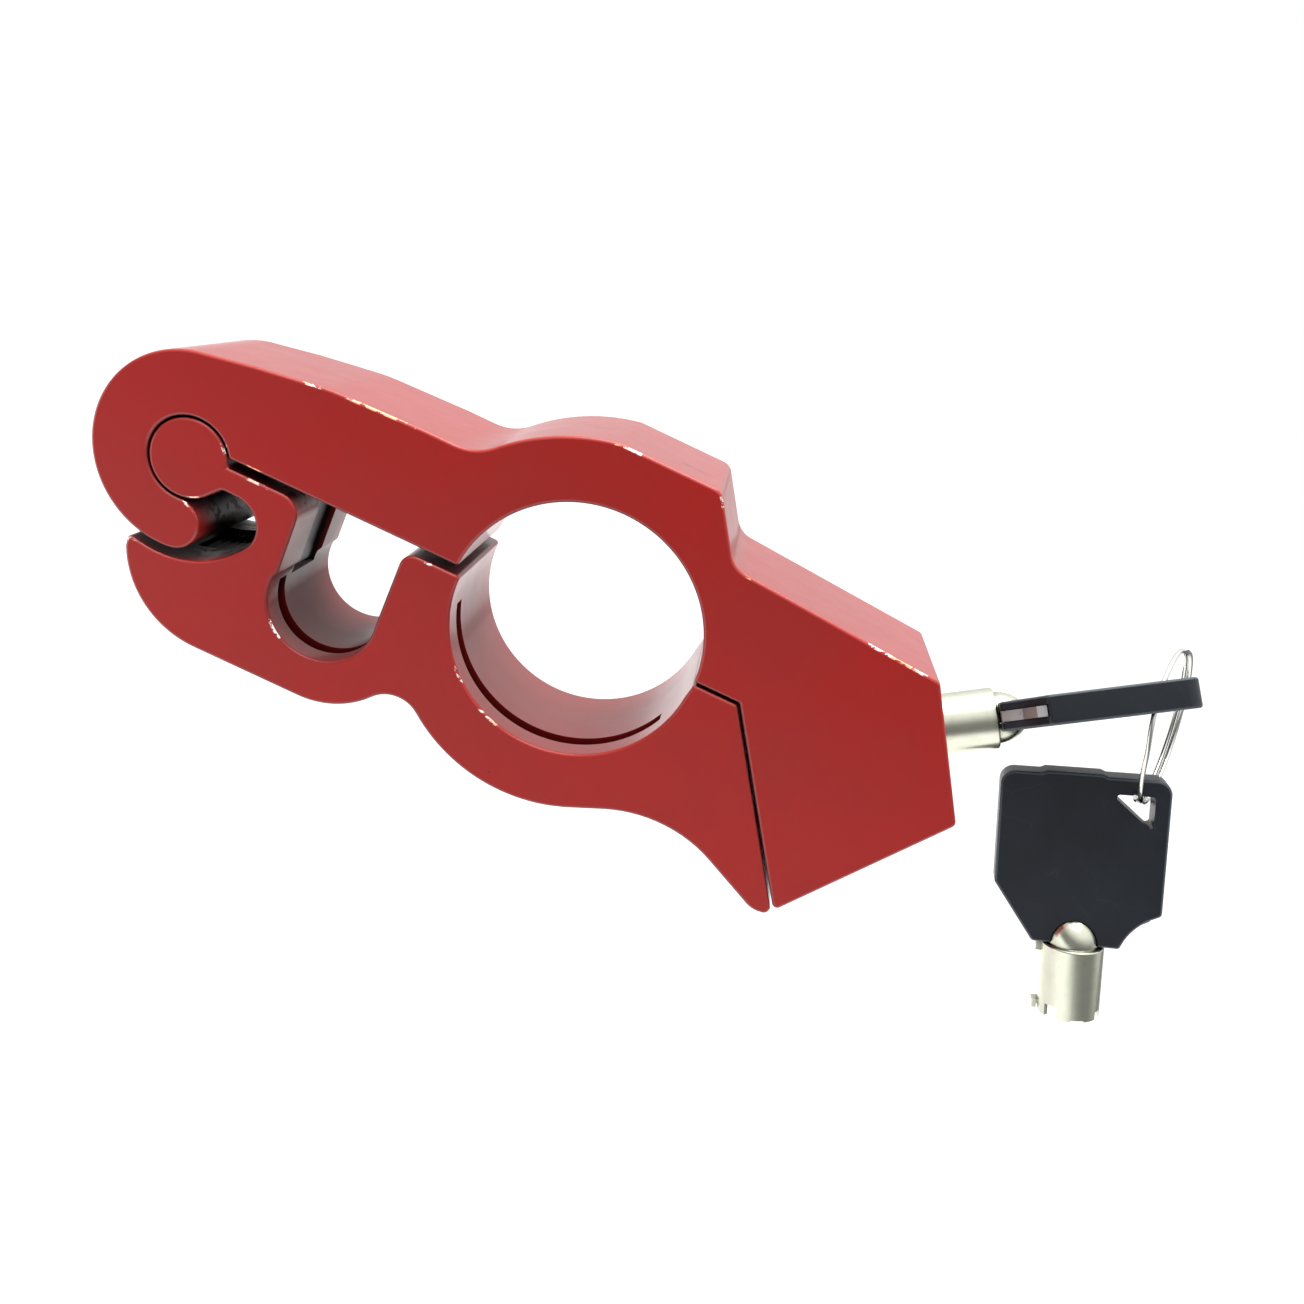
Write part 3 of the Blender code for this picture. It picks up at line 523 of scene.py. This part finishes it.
def wire(name, points, radius, resolution=4):
    curve = bpy.data.curves.new(name, "CURVE")
    curve.dimensions = "3D"
    curve.bevel_depth = radius * MM
    curve.bevel_resolution = resolution
    curve.use_fill_caps = True
    spline = curve.splines.new("POLY")
    spline.points.add(len(points) - 1)
    for point, at in zip(spline.points, points):
        point.co = (at[0] * MM, at[1] * MM, at[2] * MM, 1)
    return settle(add_object(name, curve, Matrix.Identity(4)))


def combine(target, operation, *tools):
    """Cuts or joins the tools, and removes them."""
    for tool in tools:
        boolean = target.modifiers.new(tool.name, "BOOLEAN")
        boolean.operation = operation
        boolean.solver = "EXACT"
        boolean.object = tool
    target = settle(target)
    for tool in tools:
        bpy.data.objects.remove(tool, do_unlink=True)
    return target


def round_edges(obj, width, segments=3, angle=40):
    bevel = obj.modifiers.new("edges", "BEVEL")
    bevel.width = width * MM
    bevel.segments = segments
    bevel.limit_method = "ANGLE"
    bevel.angle_limit = math.radians(angle)
    bevel.use_clamp_overlap = False
    return settle(obj)


def piece(obj, name, body, slot, material, *nodes, in_frame=False, sharp=35, flat_axis=None):
    """Shades the piece smooth with crisp corners and joins it to its body in place of its CAD nodes.

    With flat_axis, the points of its two outer faces are put exactly on their planes and shaded flat.
    """
    if in_frame:
        obj.data.transform(obj.matrix_world)
        obj.matrix_world = Matrix.Identity(4)
    obj.name = name
    obj.data.name = name
    obj.data.materials.append(material)
    obj.data.shade_smooth()
    obj.data.set_sharp_from_angle(angle=math.radians(sharp))
    if flat_axis is not None:
        heights = [vertex.co[flat_axis] for vertex in obj.data.vertices]
        for vertex in obj.data.vertices:
            for level in (min(heights), max(heights)):
                if abs(vertex.co[flat_axis] - level) < 0.000002:
                    vertex.co[flat_axis] = level
        for face in obj.data.polygons:
            face.use_smooth = abs(face.normal[flat_axis]) < 0.99
    weighted = obj.modifiers.new("flat_faces", "WEIGHTED_NORMAL")
    weighted.keep_sharp = True
    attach(obj, body)
    if nodes:
        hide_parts(*nodes)
    return obj


# ------------------------------------------------------------------ jaws

EDGE_ROUND = 0.45
SOCKET_R = 6.1
KNUCKLE_R = 5.85
HOOK_CENTRE = (-0.1, 0.7)
HOOK_R = 14.6
NOSE_DEG = -86.0
NOSE_R = 3.9
NOSE_OUT = SOCKET_R + NOSE_R
BAR_BOTTOM = 2.6
BAR_TOP = 18.6
UPPER_BORE = (60.3, 0.8, 19.0)
LOWER_BORE = (60.7, 0.4, 18.4)
UPPER_PART = 1.9
LOWER_PART = 1.5
HUMP = (61.2, -1.6, 30.8)
HUMP_TOP = 28.7
VALLEY_R = 8.0
LOWER_TOP = 1.25
SLOT_LEFT = 17.5
SLOT_RIGHT = 33.5
SLOT_ARC = (25.25, -12.2, 8.3)
CRESCENT = (-0.2, -0.5, 14.7)
POCKET_R = 4.35
POCKET_DEG = -36.0
HORN_ARC = (9.3, -12.1, 14.9)
LEVER_WALL = (26.4, -13.3, 13.7)
BORE_WALL = (60.2, -1.65, 25.6)
DIP_R = 5.0
GROOVE_Y = (4.0, 6.6)
CORE_Y = (8.5, 17.5)
MATING_S = -28.6
JAW_GAP = 0.35
SHELL_BACK = -16.0


def upper_outline():
    socket_end = math.sqrt(SOCKET_R**2 - BAR_BOTTOM**2)
    x, z, r = UPPER_BORE
    lip_x = x - math.sqrt(r**2 - (BAR_BOTTOM - z) ** 2)
    part_x = x + math.sqrt(r**2 - (UPPER_PART - z) ** 2)
    part_deg = math.degrees(math.asin((UPPER_PART - z) / r))
    hump_x, hump_z, hump_r = HUMP
    top_deg = 180 - math.degrees(math.asin((HUMP_TOP - hump_z) / hump_r))
    fillet_z = BAR_TOP + VALLEY_R
    fillet_x = hump_x - math.sqrt((hump_r + VALLEY_R) ** 2 - (fillet_z - hump_z) ** 2)
    touch_deg = math.degrees(math.atan2(fillet_z - hump_z, fillet_x - hump_x))
    lock_side = [
        polar(r, part_deg + 4, (x, z)),
        (part_x, UPPER_PART, 0.6),
        on_line(MATING_S, UPPER_PART),
        (*lock_point(MATING_S, -22.1), 0.8),
        (*lock_point(0, -11.2), 1.0),
        (*lock_point(0, 11.3), 0.9),
        (77.1, 19.7, 4.0),
        (71.0, HUMP_TOP, 2.0),
        polar(hump_r, top_deg, (hump_x, hump_z)),
    ]
    return (
        chain(
            [
                polar(SOCKET_R, 31),
                (socket_end, BAR_BOTTOM, 0.5),
                (lip_x, BAR_BOTTOM, 0.6),
                polar(r, 169, (x, z)),
            ]
        )
        + arc(x, z, r, 165, part_deg + 8)
        + chain(lock_side)
        + arc(hump_x, hump_z, hump_r, top_deg + 3, touch_deg - 1)
        + arc(fillet_x, fillet_z, VALLEY_R, touch_deg - 180, -90)
        + chain([(30, BAR_TOP), (16.0, 18.15, 30), (5.0, 16.5)])
        + arc(*HOOK_CENTRE, HOOK_R, 98, 360 + NOSE_DEG)
        + arc(*polar(NOSE_OUT, NOSE_DEG), NOSE_R, NOSE_DEG + 14, NOSE_DEG + 172, 5)
        + arc(0, 0, SOCKET_R, NOSE_DEG - 4, -360 + 37)
    )


def lower_outline():
    x, z, r = LOWER_BORE
    lip_x = x - math.sqrt(r**2 - (LOWER_TOP - z) ** 2)
    slot_x, slot_z, slot_r = SLOT_ARC
    crescent_x, crescent_z, crescent_r = CRESCENT
    pocket = polar(crescent_r - POCKET_R, POCKET_DEG, (crescent_x, crescent_z))
    lever = Vector(LEVER_WALL[:2])
    wall = Vector(BORE_WALL[:2])
    reach = wall - lever
    lever_r = LEVER_WALL[2] + DIP_R
    wall_r = BORE_WALL[2] + DIP_R
    along = (lever_r**2 - wall_r**2 + reach.length_squared) / (2 * reach.length)
    aside = math.sqrt(lever_r**2 - along**2)
    unit = reach.normalized()
    dip = lever + unit * along + Vector((unit.y, -unit.x)) * aside
    wall_deg = math.degrees(math.atan2(dip.y - wall.y, dip.x - wall.x))
    lever_deg = math.degrees(math.atan2(dip.y - lever.y, dip.x - lever.x))
    tail_s = MATING_S - JAW_GAP
    return (
        chain(
            [
                (math.sqrt(KNUCKLE_R**2 - LOWER_TOP**2), LOWER_TOP),
                (SLOT_LEFT, LOWER_TOP, 3.2),
                (SLOT_LEFT, -10.2),
                polar(slot_r, 172, (slot_x, slot_z)),
            ]
        )
        + arc(slot_x, slot_z, slot_r, 178, 357)
        + chain(
            [
                (SLOT_RIGHT, -9.5),
                (SLOT_RIGHT, LOWER_TOP, 2.2),
                (lip_x, LOWER_TOP, 0.6),
                polar(r, 182, (x, z)),
            ]
        )
        + arc(x, z, r, 186, 352)
        + chain(
            [
                polar(r, 356, (x, z)),
                (79.45, LOWER_PART, 0.6),
                (*on_line(tail_s, LOWER_PART), 0.7),
                (*lock_point(tail_s, -22.9), 1.0),
                (102.8, -27.6, 4.0),
                (84.5, -18.7, 21.0),
                polar(BORE_WALL[2], -67, wall),
            ]
        )
        + arc(*BORE_WALL, -72, wall_deg)
        + arc(*dip, DIP_R, wall_deg + 180 + 8, lever_deg + 180, 5)
        + arc(*LEVER_WALL, lever_deg - 5, -90)
        + arc(*HORN_ARC, -90, -162)
        + chain(
            [
                polar(HORN_ARC[2], -163, HORN_ARC[:2]),
                (-5.05, -14.6, 0.55),
                polar(crescent_r, -105, (crescent_x, crescent_z)),
            ]
        )
        + arc(crescent_x, crescent_z, crescent_r, -102, POCKET_DEG)
        + arc(*pocket, POCKET_R, POCKET_DEG + 10, 95, 5)
        + chain([(7.2, -2.2), (6.0, -2.2, 0.8), polar(KNUCKLE_R, -42)])
        + arc(0, 0, KNUCKLE_R, -48, -360 + 18)
    )


def d_section(radius, flat):
    half = math.degrees(math.acos(flat / radius))
    return arc(0, 0, radius, 90 + half, 450 - half, 5)


def sector(x, y, inner, outer, start, end):
    return arc(x, y, outer, start, end) + arc(x, y, inner, end, start)


SIDEWAYS = LOCK @ Matrix.Rotation(math.radians(90), 4, "Y")
SHELL_PIN_S = -13.9
SCREW_DEG = 170.0
screw_out = Vector((math.cos(math.radians(SCREW_DEG)), 0, math.sin(math.radians(SCREW_DEG))))
SCREW = axes((0, 1, 0), screw_out.cross(Vector((0, 1, 0))), screw_out, (0, MIDDLE, 0))

upper = round_edges(plate("upper", [upper_outline()], 0, THICKNESS), EDGE_ROUND)
bore_steps = [
    (0, 2),
    (7.0, 2),
    (7.0, SHELL_BACK - 0.3),
    (5.8, SHELL_BACK - 0.3),
    (5.8, -23.5),
    (0, -23.5),
]
upper = combine(
    upper,
    "DIFFERENCE",
    turned("lock_bore", bore_steps, LOCK),
    prism("bolt_guide", [d_section(3.5, 2.8)], -30.0, -23.2, LOCK),
    rod("screw_hole", 1.7, 5.0, 17.0, SCREW),
    rod("shell_pin_hole", 1.25, 5.0, 14.0, SIDEWAYS @ shifted(-SHELL_PIN_S, 0)),
)
piece(upper, "upper_jaw_painted", "upper", "red_paint", RED, "upper_jaw", in_frame=True, flat_axis=1)

lower = round_edges(plate("lower", [lower_outline()], 0, THICKNESS), EDGE_ROUND)
crescent_step = plate("crescent_step", [sector(0, 0, 14.2, 15.8, -90, -50)], 18.2, 24.5)
lower = combine(lower, "UNION", crescent_step)
core_gap = [
    (18.2, 3.0),
    (14.3, 3.0),
    (14.3, -1.6),
    (11.0, -4.0),
    (8.0, -8.0),
    (2.0, -12.5),
    (2.0, -17.6),
    (8.5, -17.6),
    (13.5, -14.0),
    (14.9, -13.0),
    (18.2, -12.6),
]
RIVET = (10.3, -14.1)
lower = combine(
    lower,
    "DIFFERENCE",
    plate("bore_groove", [sector(*LOWER_BORE[:2], 17.4, 20.9, -166, -24)], *GROOVE_Y),
    plate("lever_groove", [sector(*SLOT_ARC[:2], 7.4, 10.2, -178, -12)], *GROOVE_Y),
    plate("knuckle_groove", [sector(0, 0, 5.0, 7.5, 150, 225)], 11.4, 13.6),
    plate("core_slot", [core_gap], *CORE_Y),
    plate("rivet_hole", [circle(0.85, 32, RIVET)], 7.0, 26.0),
    rod("bolt_pocket", 3.7, -34.0, -28.0, LOCK),
)
piece(lower, "lower_jaw_painted", "lower", "red_paint", RED, "lower_jaw", in_frame=True, flat_axis=1)


def core_outline():
    x, z, r = CRESCENT
    pocket = polar(r - POCKET_R, POCKET_DEG, (x, z))
    teeth = []
    for i in range(8):
        at = -46 - 4.4 * i
        teeth.append(polar(r + 1.3, at, (x, z)))
        teeth.append(polar(r + 0.6, at - 3.4, (x, z)))
    return (
        [(16.3, -0.6), (14.6, -0.6), (14.6, -2.0)]
        + arc(*pocket, POCKET_R + 1.1, 20, -42, 5)
        + teeth
        + [(2.3, -17.3), (8.2, -17.3), (13.1, -13.7), (14.6, -12.75), (16.3, -12.35)]
    )


core = plate("core", [core_outline()], CORE_Y[0] + 0.3, CORE_Y[1] - 0.3)
core = combine(core, "DIFFERENCE", plate("core_hole", [circle(0.85, 32, RIVET)], 7.0, 26.0))
core = round_edges(core, 0.12, 2, 50)
piece(
    core, "core_plate_stamped", "lower", "hardened_steel", BURNT, "core_plate", in_frame=True, flat_axis=1
)

# ------------------------------------------------------------------ keys

TUBE_R = 4.75
TUBE_BORE_R = 3.95
TUBE_LENGTH = 11.4
DOME_R = 4.0
DOME_HEIGHT = 4.7
BOW_HALF = 12.3
BOW_LENGTH = 27.0
BOW_THICK = 4.4
BLANK_THICK = 1.6
BLANK_STEP = 5.9
PIN_COUNT = 7
PIN_CIRCLE = 4.1
RING_HOLE = ((3.7, 24.5), (10.0, 24.5), (10.0, 19.0))
CUT_DEPTHS = (1.2, 0.5, 1.7, 0.9, 2.0, 0.4, 1.4)


def dome(extra, step):
    line = [
        (
            (DOME_R + extra) * math.cos(math.radians(a)),
            (DOME_HEIGHT + extra) * math.sin(math.radians(a)),
        )
        for a in range(90 - step, -1, -step)
    ]
    return [(0, DOME_HEIGHT + extra), *line]


def key_barrel(name, place):
    """The steel tube: rolled shoulder, rounded rim, domed plug, two lugs and seven cuts."""
    rim = [polar(0.25, a, (TUBE_R - 0.25, 0.25 - TUBE_LENGTH)) for a in (0, -30, -60, -90)]
    shoulder = [polar(0.35, a, (TUBE_R - 0.35, -0.35)) for a in (90, 60, 30, 0)]
    profile = (
        dome(0, 6)
        + [(DOME_R + 0.02, -0.02)]
        + shoulder
        + rim
        + [(TUBE_BORE_R, -TUBE_LENGTH), (TUBE_BORE_R, -1.2), (0, -1.2)]
    )
    barrel = turned(name, profile, place)
    lug = chain([(-5.55, -0.95, 0.2), (-4.2, -0.95), (-4.2, 0.95), (-5.55, 0.95, 0.2)])
    slab = place @ FRONT
    barrel = combine(
        barrel,
        "UNION",
        prism("tip_lug", [lug], 0.3 - TUBE_LENGTH, 1.6 - TUBE_LENGTH, place),
        prism("top_lug", [lug], -1.6, -0.2, place),
    )
    tools = [prism("dome_slot", [[(-5, 0.1), (5, 0.1), (5, 6), (-5, 6)]], -0.95, 0.95, slab)]
    for i in range(PIN_COUNT):
        here = place @ turned_by((i + 0.5) * 360 / PIN_COUNT) @ shifted(PIN_CIRCLE + 0.15, 0)
        top = CUT_DEPTHS[i] - TUBE_LENGTH
        tools.append(rod(f"cut_{i}", 1.1, -TUBE_LENGTH - 1, top, here, 32))
    return combine(barrel, "DIFFERENCE", *tools)


def bow_outline():
    hollow = arc(15.2, -2.6, 9.0, 120, 152, 5)
    return chain(
        [
            (-6.2, 0.15),
            (-BOW_HALF, 9.2, 0.8),
            (-BOW_HALF, BOW_LENGTH, 2.2),
            (-6.4, BOW_LENGTH),
            (-5.6, BOW_LENGTH + 0.35),
            (2.4, BOW_LENGTH + 0.35),
            (3.2, BOW_LENGTH),
            (BOW_HALF, BOW_LENGTH, 2.2),
            (BOW_HALF, 6.0, 0.8),
        ]
        + hollow
        + [(6.6, 0.15)]
    )


CHAMBER = [
    (-14, -1),
    (-14, BLANK_STEP + 0.15),
    (-8.15, BLANK_STEP + 0.15),
    (-8.15, 18.7),
    (8.15, 18.7),
    (8.15, BLANK_STEP + 0.15),
    (14, BLANK_STEP + 0.15),
    (14, -1),
]


def key_bow(name, place):
    slab = place @ FRONT
    half = BOW_THICK / 2
    thin = BLANK_THICK / 2 + 0.13
    bow = round_edges(prism(name, [bow_outline()], -half, half, slab), 0.4, 3)
    room = dome(0.15, 6) + [(DOME_R + 0.15, -1), (0, -1)]
    corners = [(*corner, 0.5) for corner in RING_HOLE]
    return combine(
        bow,
        "DIFFERENCE",
        prism("chamber", [CHAMBER], -thin, thin, slab),
        turned("dome_room", room, place),
        prism("ring_hole", [chain(corners)], -5, 5, slab),
    )


def build_key(prefix, body, place):
    barrel = key_barrel(f"{prefix}_tube", place)
    piece(barrel, f"{prefix}_tube_plated", body, "nickel", NICKEL, f"{prefix}_barrel")
    bow = key_bow(f"{prefix}_grip", place)
    piece(bow, f"{prefix}_bow_moulded", body, "black_plastic", PLASTIC, f"{prefix}_bow", flat_axis=2)


build_key("key", "key", KEY)

# ------------------------------------------------------------------ ring and spare key

RING_R = 11.8
RING_WIRE = 0.36
RING_PITCH = 0.8
RING_SWING = 16.4
SPARE_TILT = -24.4
SPARE_LEAN = -8.8
SPARE_YAW = -7.3


def key_point(place, x, y, z):
    return place @ (Vector((x, y, z)) * MM) / MM


in_hole = key_point(KEY, 9.0, 0, 22.0)
past_end = key_point(KEY, -11.0, 0, BOW_LENGTH + 3.1)
chord = past_end - in_hole
DOWN = Vector((0, 0, -1))
hang = (DOWN - chord.normalized() * DOWN.dot(chord.normalized())).normalized()
hang.rotate(Matrix.Rotation(math.radians(-RING_SWING), 3, chord))
drop = math.sqrt(RING_R**2 - (chord.length / 2) ** 2)
ring_centre = (in_hole + past_end) / 2 + hang * drop
ring_normal = chord.normalized().cross(hang)
lowest = (DOWN - ring_normal * DOWN.dot(ring_normal)).normalized()
level = ring_normal.cross(lowest)

ring_path = []
for j in range(28, 217):
    turn = j * 3
    crossing = min(1.0, max(0.0, (turn - 340) / 40))
    angle = math.radians(turn + 100)
    at = ring_centre + (lowest * math.cos(angle) + level * math.sin(angle)) * RING_R
    ring_path.append(at + ring_normal * (crossing - 0.5) * RING_PITCH)
ring = wire("ring", ring_path, RING_WIRE)
piece(ring, "split_ring_wire", "ring", "nickel", BRIGHT, "split_ring", sharp=60)

hook_point = ring_centre + lowest * RING_R
spare_axes = (
    Matrix.Rotation(math.radians(SPARE_TILT), 4, "Y")
    @ Matrix.Rotation(math.radians(SPARE_LEAN), 4, "X")
    @ Matrix.Rotation(math.radians(SPARE_YAW), 4, "Z")
)
hole_at = spare_axes @ Vector((8.8, 1.7, 22.8))
SPARE = Matrix.Translation((hook_point - hole_at) * MM) @ spare_axes
build_key("spare", "spare_key", SPARE)

# ------------------------------------------------------------------ pieces kept from the CAD
KEPT = {
    "key_blank": HARD,
    "spare_blank": HARD,
    "lock_shell": NICKEL,
    "rotor": BRASS,
    "pin_bushing": BRASS,
    "core_rivet": STEEL,
    "hinge_screw": STEEL,
    "shell_pin": STEEL,
    "bushing_pin": STEEL,
    "drive_barrel": STEEL,
    "barrel_screw": STEEL,
    "bolt": STEEL,
    "drive_pin": STEEL,
}
for i in range(1, PIN_COUNT + 1):
    KEPT[f"key_pin_{i}"] = BRASS
    KEPT[f"driver_{i}"] = STEEL
    KEPT[f"driver_spring_{i}"] = STEEL
for node, material in KEPT.items():
    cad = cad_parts[node]
    cad.data.materials.clear()
    cad.data.materials.append(material)

# ------------------------------------------------------------------ studio

# Low enough for the lower jaw to swing fully open above it
FLOOR_Z = -0.086
floor_mesh = bpy.data.meshes.new("floor")
work = bmesh.new()
bmesh.ops.create_grid(work, x_segments=2, y_segments=2, size=6.0)
work.to_mesh(floor_mesh)
work.free()
floor = add_object("floor", floor_mesh, Matrix.Translation((0, 0, FLOOR_Z)))
floor.data.materials.append(floor_paint())

world = bpy.data.worlds.new("studio")
bpy.context.scene.world = world
world.use_nodes = True
tree = world.node_tree
background = tree.nodes["Background"]


def world_math(operation, a, b=0.0, clamp=False):
    node = tree.nodes.new("ShaderNodeMath")
    node.operation = operation
    node.use_clamp = clamp
    for i, value in enumerate((a, b)):
        if isinstance(value, bpy.types.NodeSocket):
            tree.links.new(value, node.inputs[i])
        else:
            node.inputs[i].default_value = value
    return node.outputs[0]


def world_ramp(value, low, high, start, end):
    node = tree.nodes.new("ShaderNodeMapRange")
    node.interpolation_type = "SMOOTHSTEP"
    tree.links.new(value, node.inputs["Value"])
    for name, number in (("From Min", low), ("From Max", high), ("To Min", start), ("To Max", end)):
        node.inputs[name].default_value = number
    return node.outputs[0]


direction = tree.nodes.new("ShaderNodeTexCoord").outputs["Generated"]
split = tree.nodes.new("ShaderNodeSeparateXYZ")
tree.links.new(direction, split.inputs[0])
height = world_ramp(split.outputs[2], 0.15, 0.75, 0.0, 1.0)
behind = world_ramp(split.outputs[1], -0.5, 0.35, 0.30, 1.0)
ROOF = 1.5
light = world_math("MULTIPLY", behind, world_math("SUBTRACT", 1.0, height))
light = world_math("ADD", light, world_math("MULTIPLY", height, ROOF))
seen = tree.nodes.new("ShaderNodeLightPath").outputs["Is Camera Ray"]
not_seen = world_math("SUBTRACT", 1.0, seen)
strength = world_math("ADD", world_math("MULTIPLY", light, not_seen), seen)
background.inputs["Color"].default_value = (1.0, 1.0, 1.0, 1.0)
tree.links.new(strength, background.inputs["Strength"])


def area_light(name, place, target, size, power):
    data = bpy.data.lights.new(name, "AREA")
    data.shape = "RECTANGLE"
    data.size = size[0]
    data.size_y = size[1]
    data.energy = power
    lamp = bpy.data.objects.new(name, data)
    bpy.context.scene.collection.objects.link(lamp)
    lamp.location = place
    lamp.rotation_euler = (Vector(target) - Vector(place)).to_track_quat("-Z", "Y").to_euler()


area_light("top_light", (-0.05, 0.05, 0.75), (0.06, 0.0125, 0), (0.9, 0.6), 9.0)

scene = bpy.context.scene
scene.view_settings.view_transform = "Standard"
scene.view_settings.look = "None"

# A side view from the front, a little above, rolled so that the lock slopes down to the right
CAMERA_AT = (0.06663, -0.161, 0.05755)
CAMERA_RIGHT = Vector((0.9047, 0.1089, 0.4119))
CAMERA_UP = Vector((-0.4249, 0.3011, 0.8537))
camera_data = bpy.data.cameras.new("camera")
camera_data.sensor_width = 36.0
camera_data.lens = 36.0 * 1180.0 / 1304.0
camera_data.clip_start = 0.01
camera = bpy.data.objects.new("camera", camera_data)
scene.collection.objects.link(camera)
right = CAMERA_RIGHT.normalized()
up = (CAMERA_UP - right * CAMERA_UP.dot(right)).normalized()
turn = Matrix((right, up, right.cross(up))).transposed().to_4x4()
camera.matrix_world = Matrix.Translation(CAMERA_AT) @ turn
scene.camera = camera
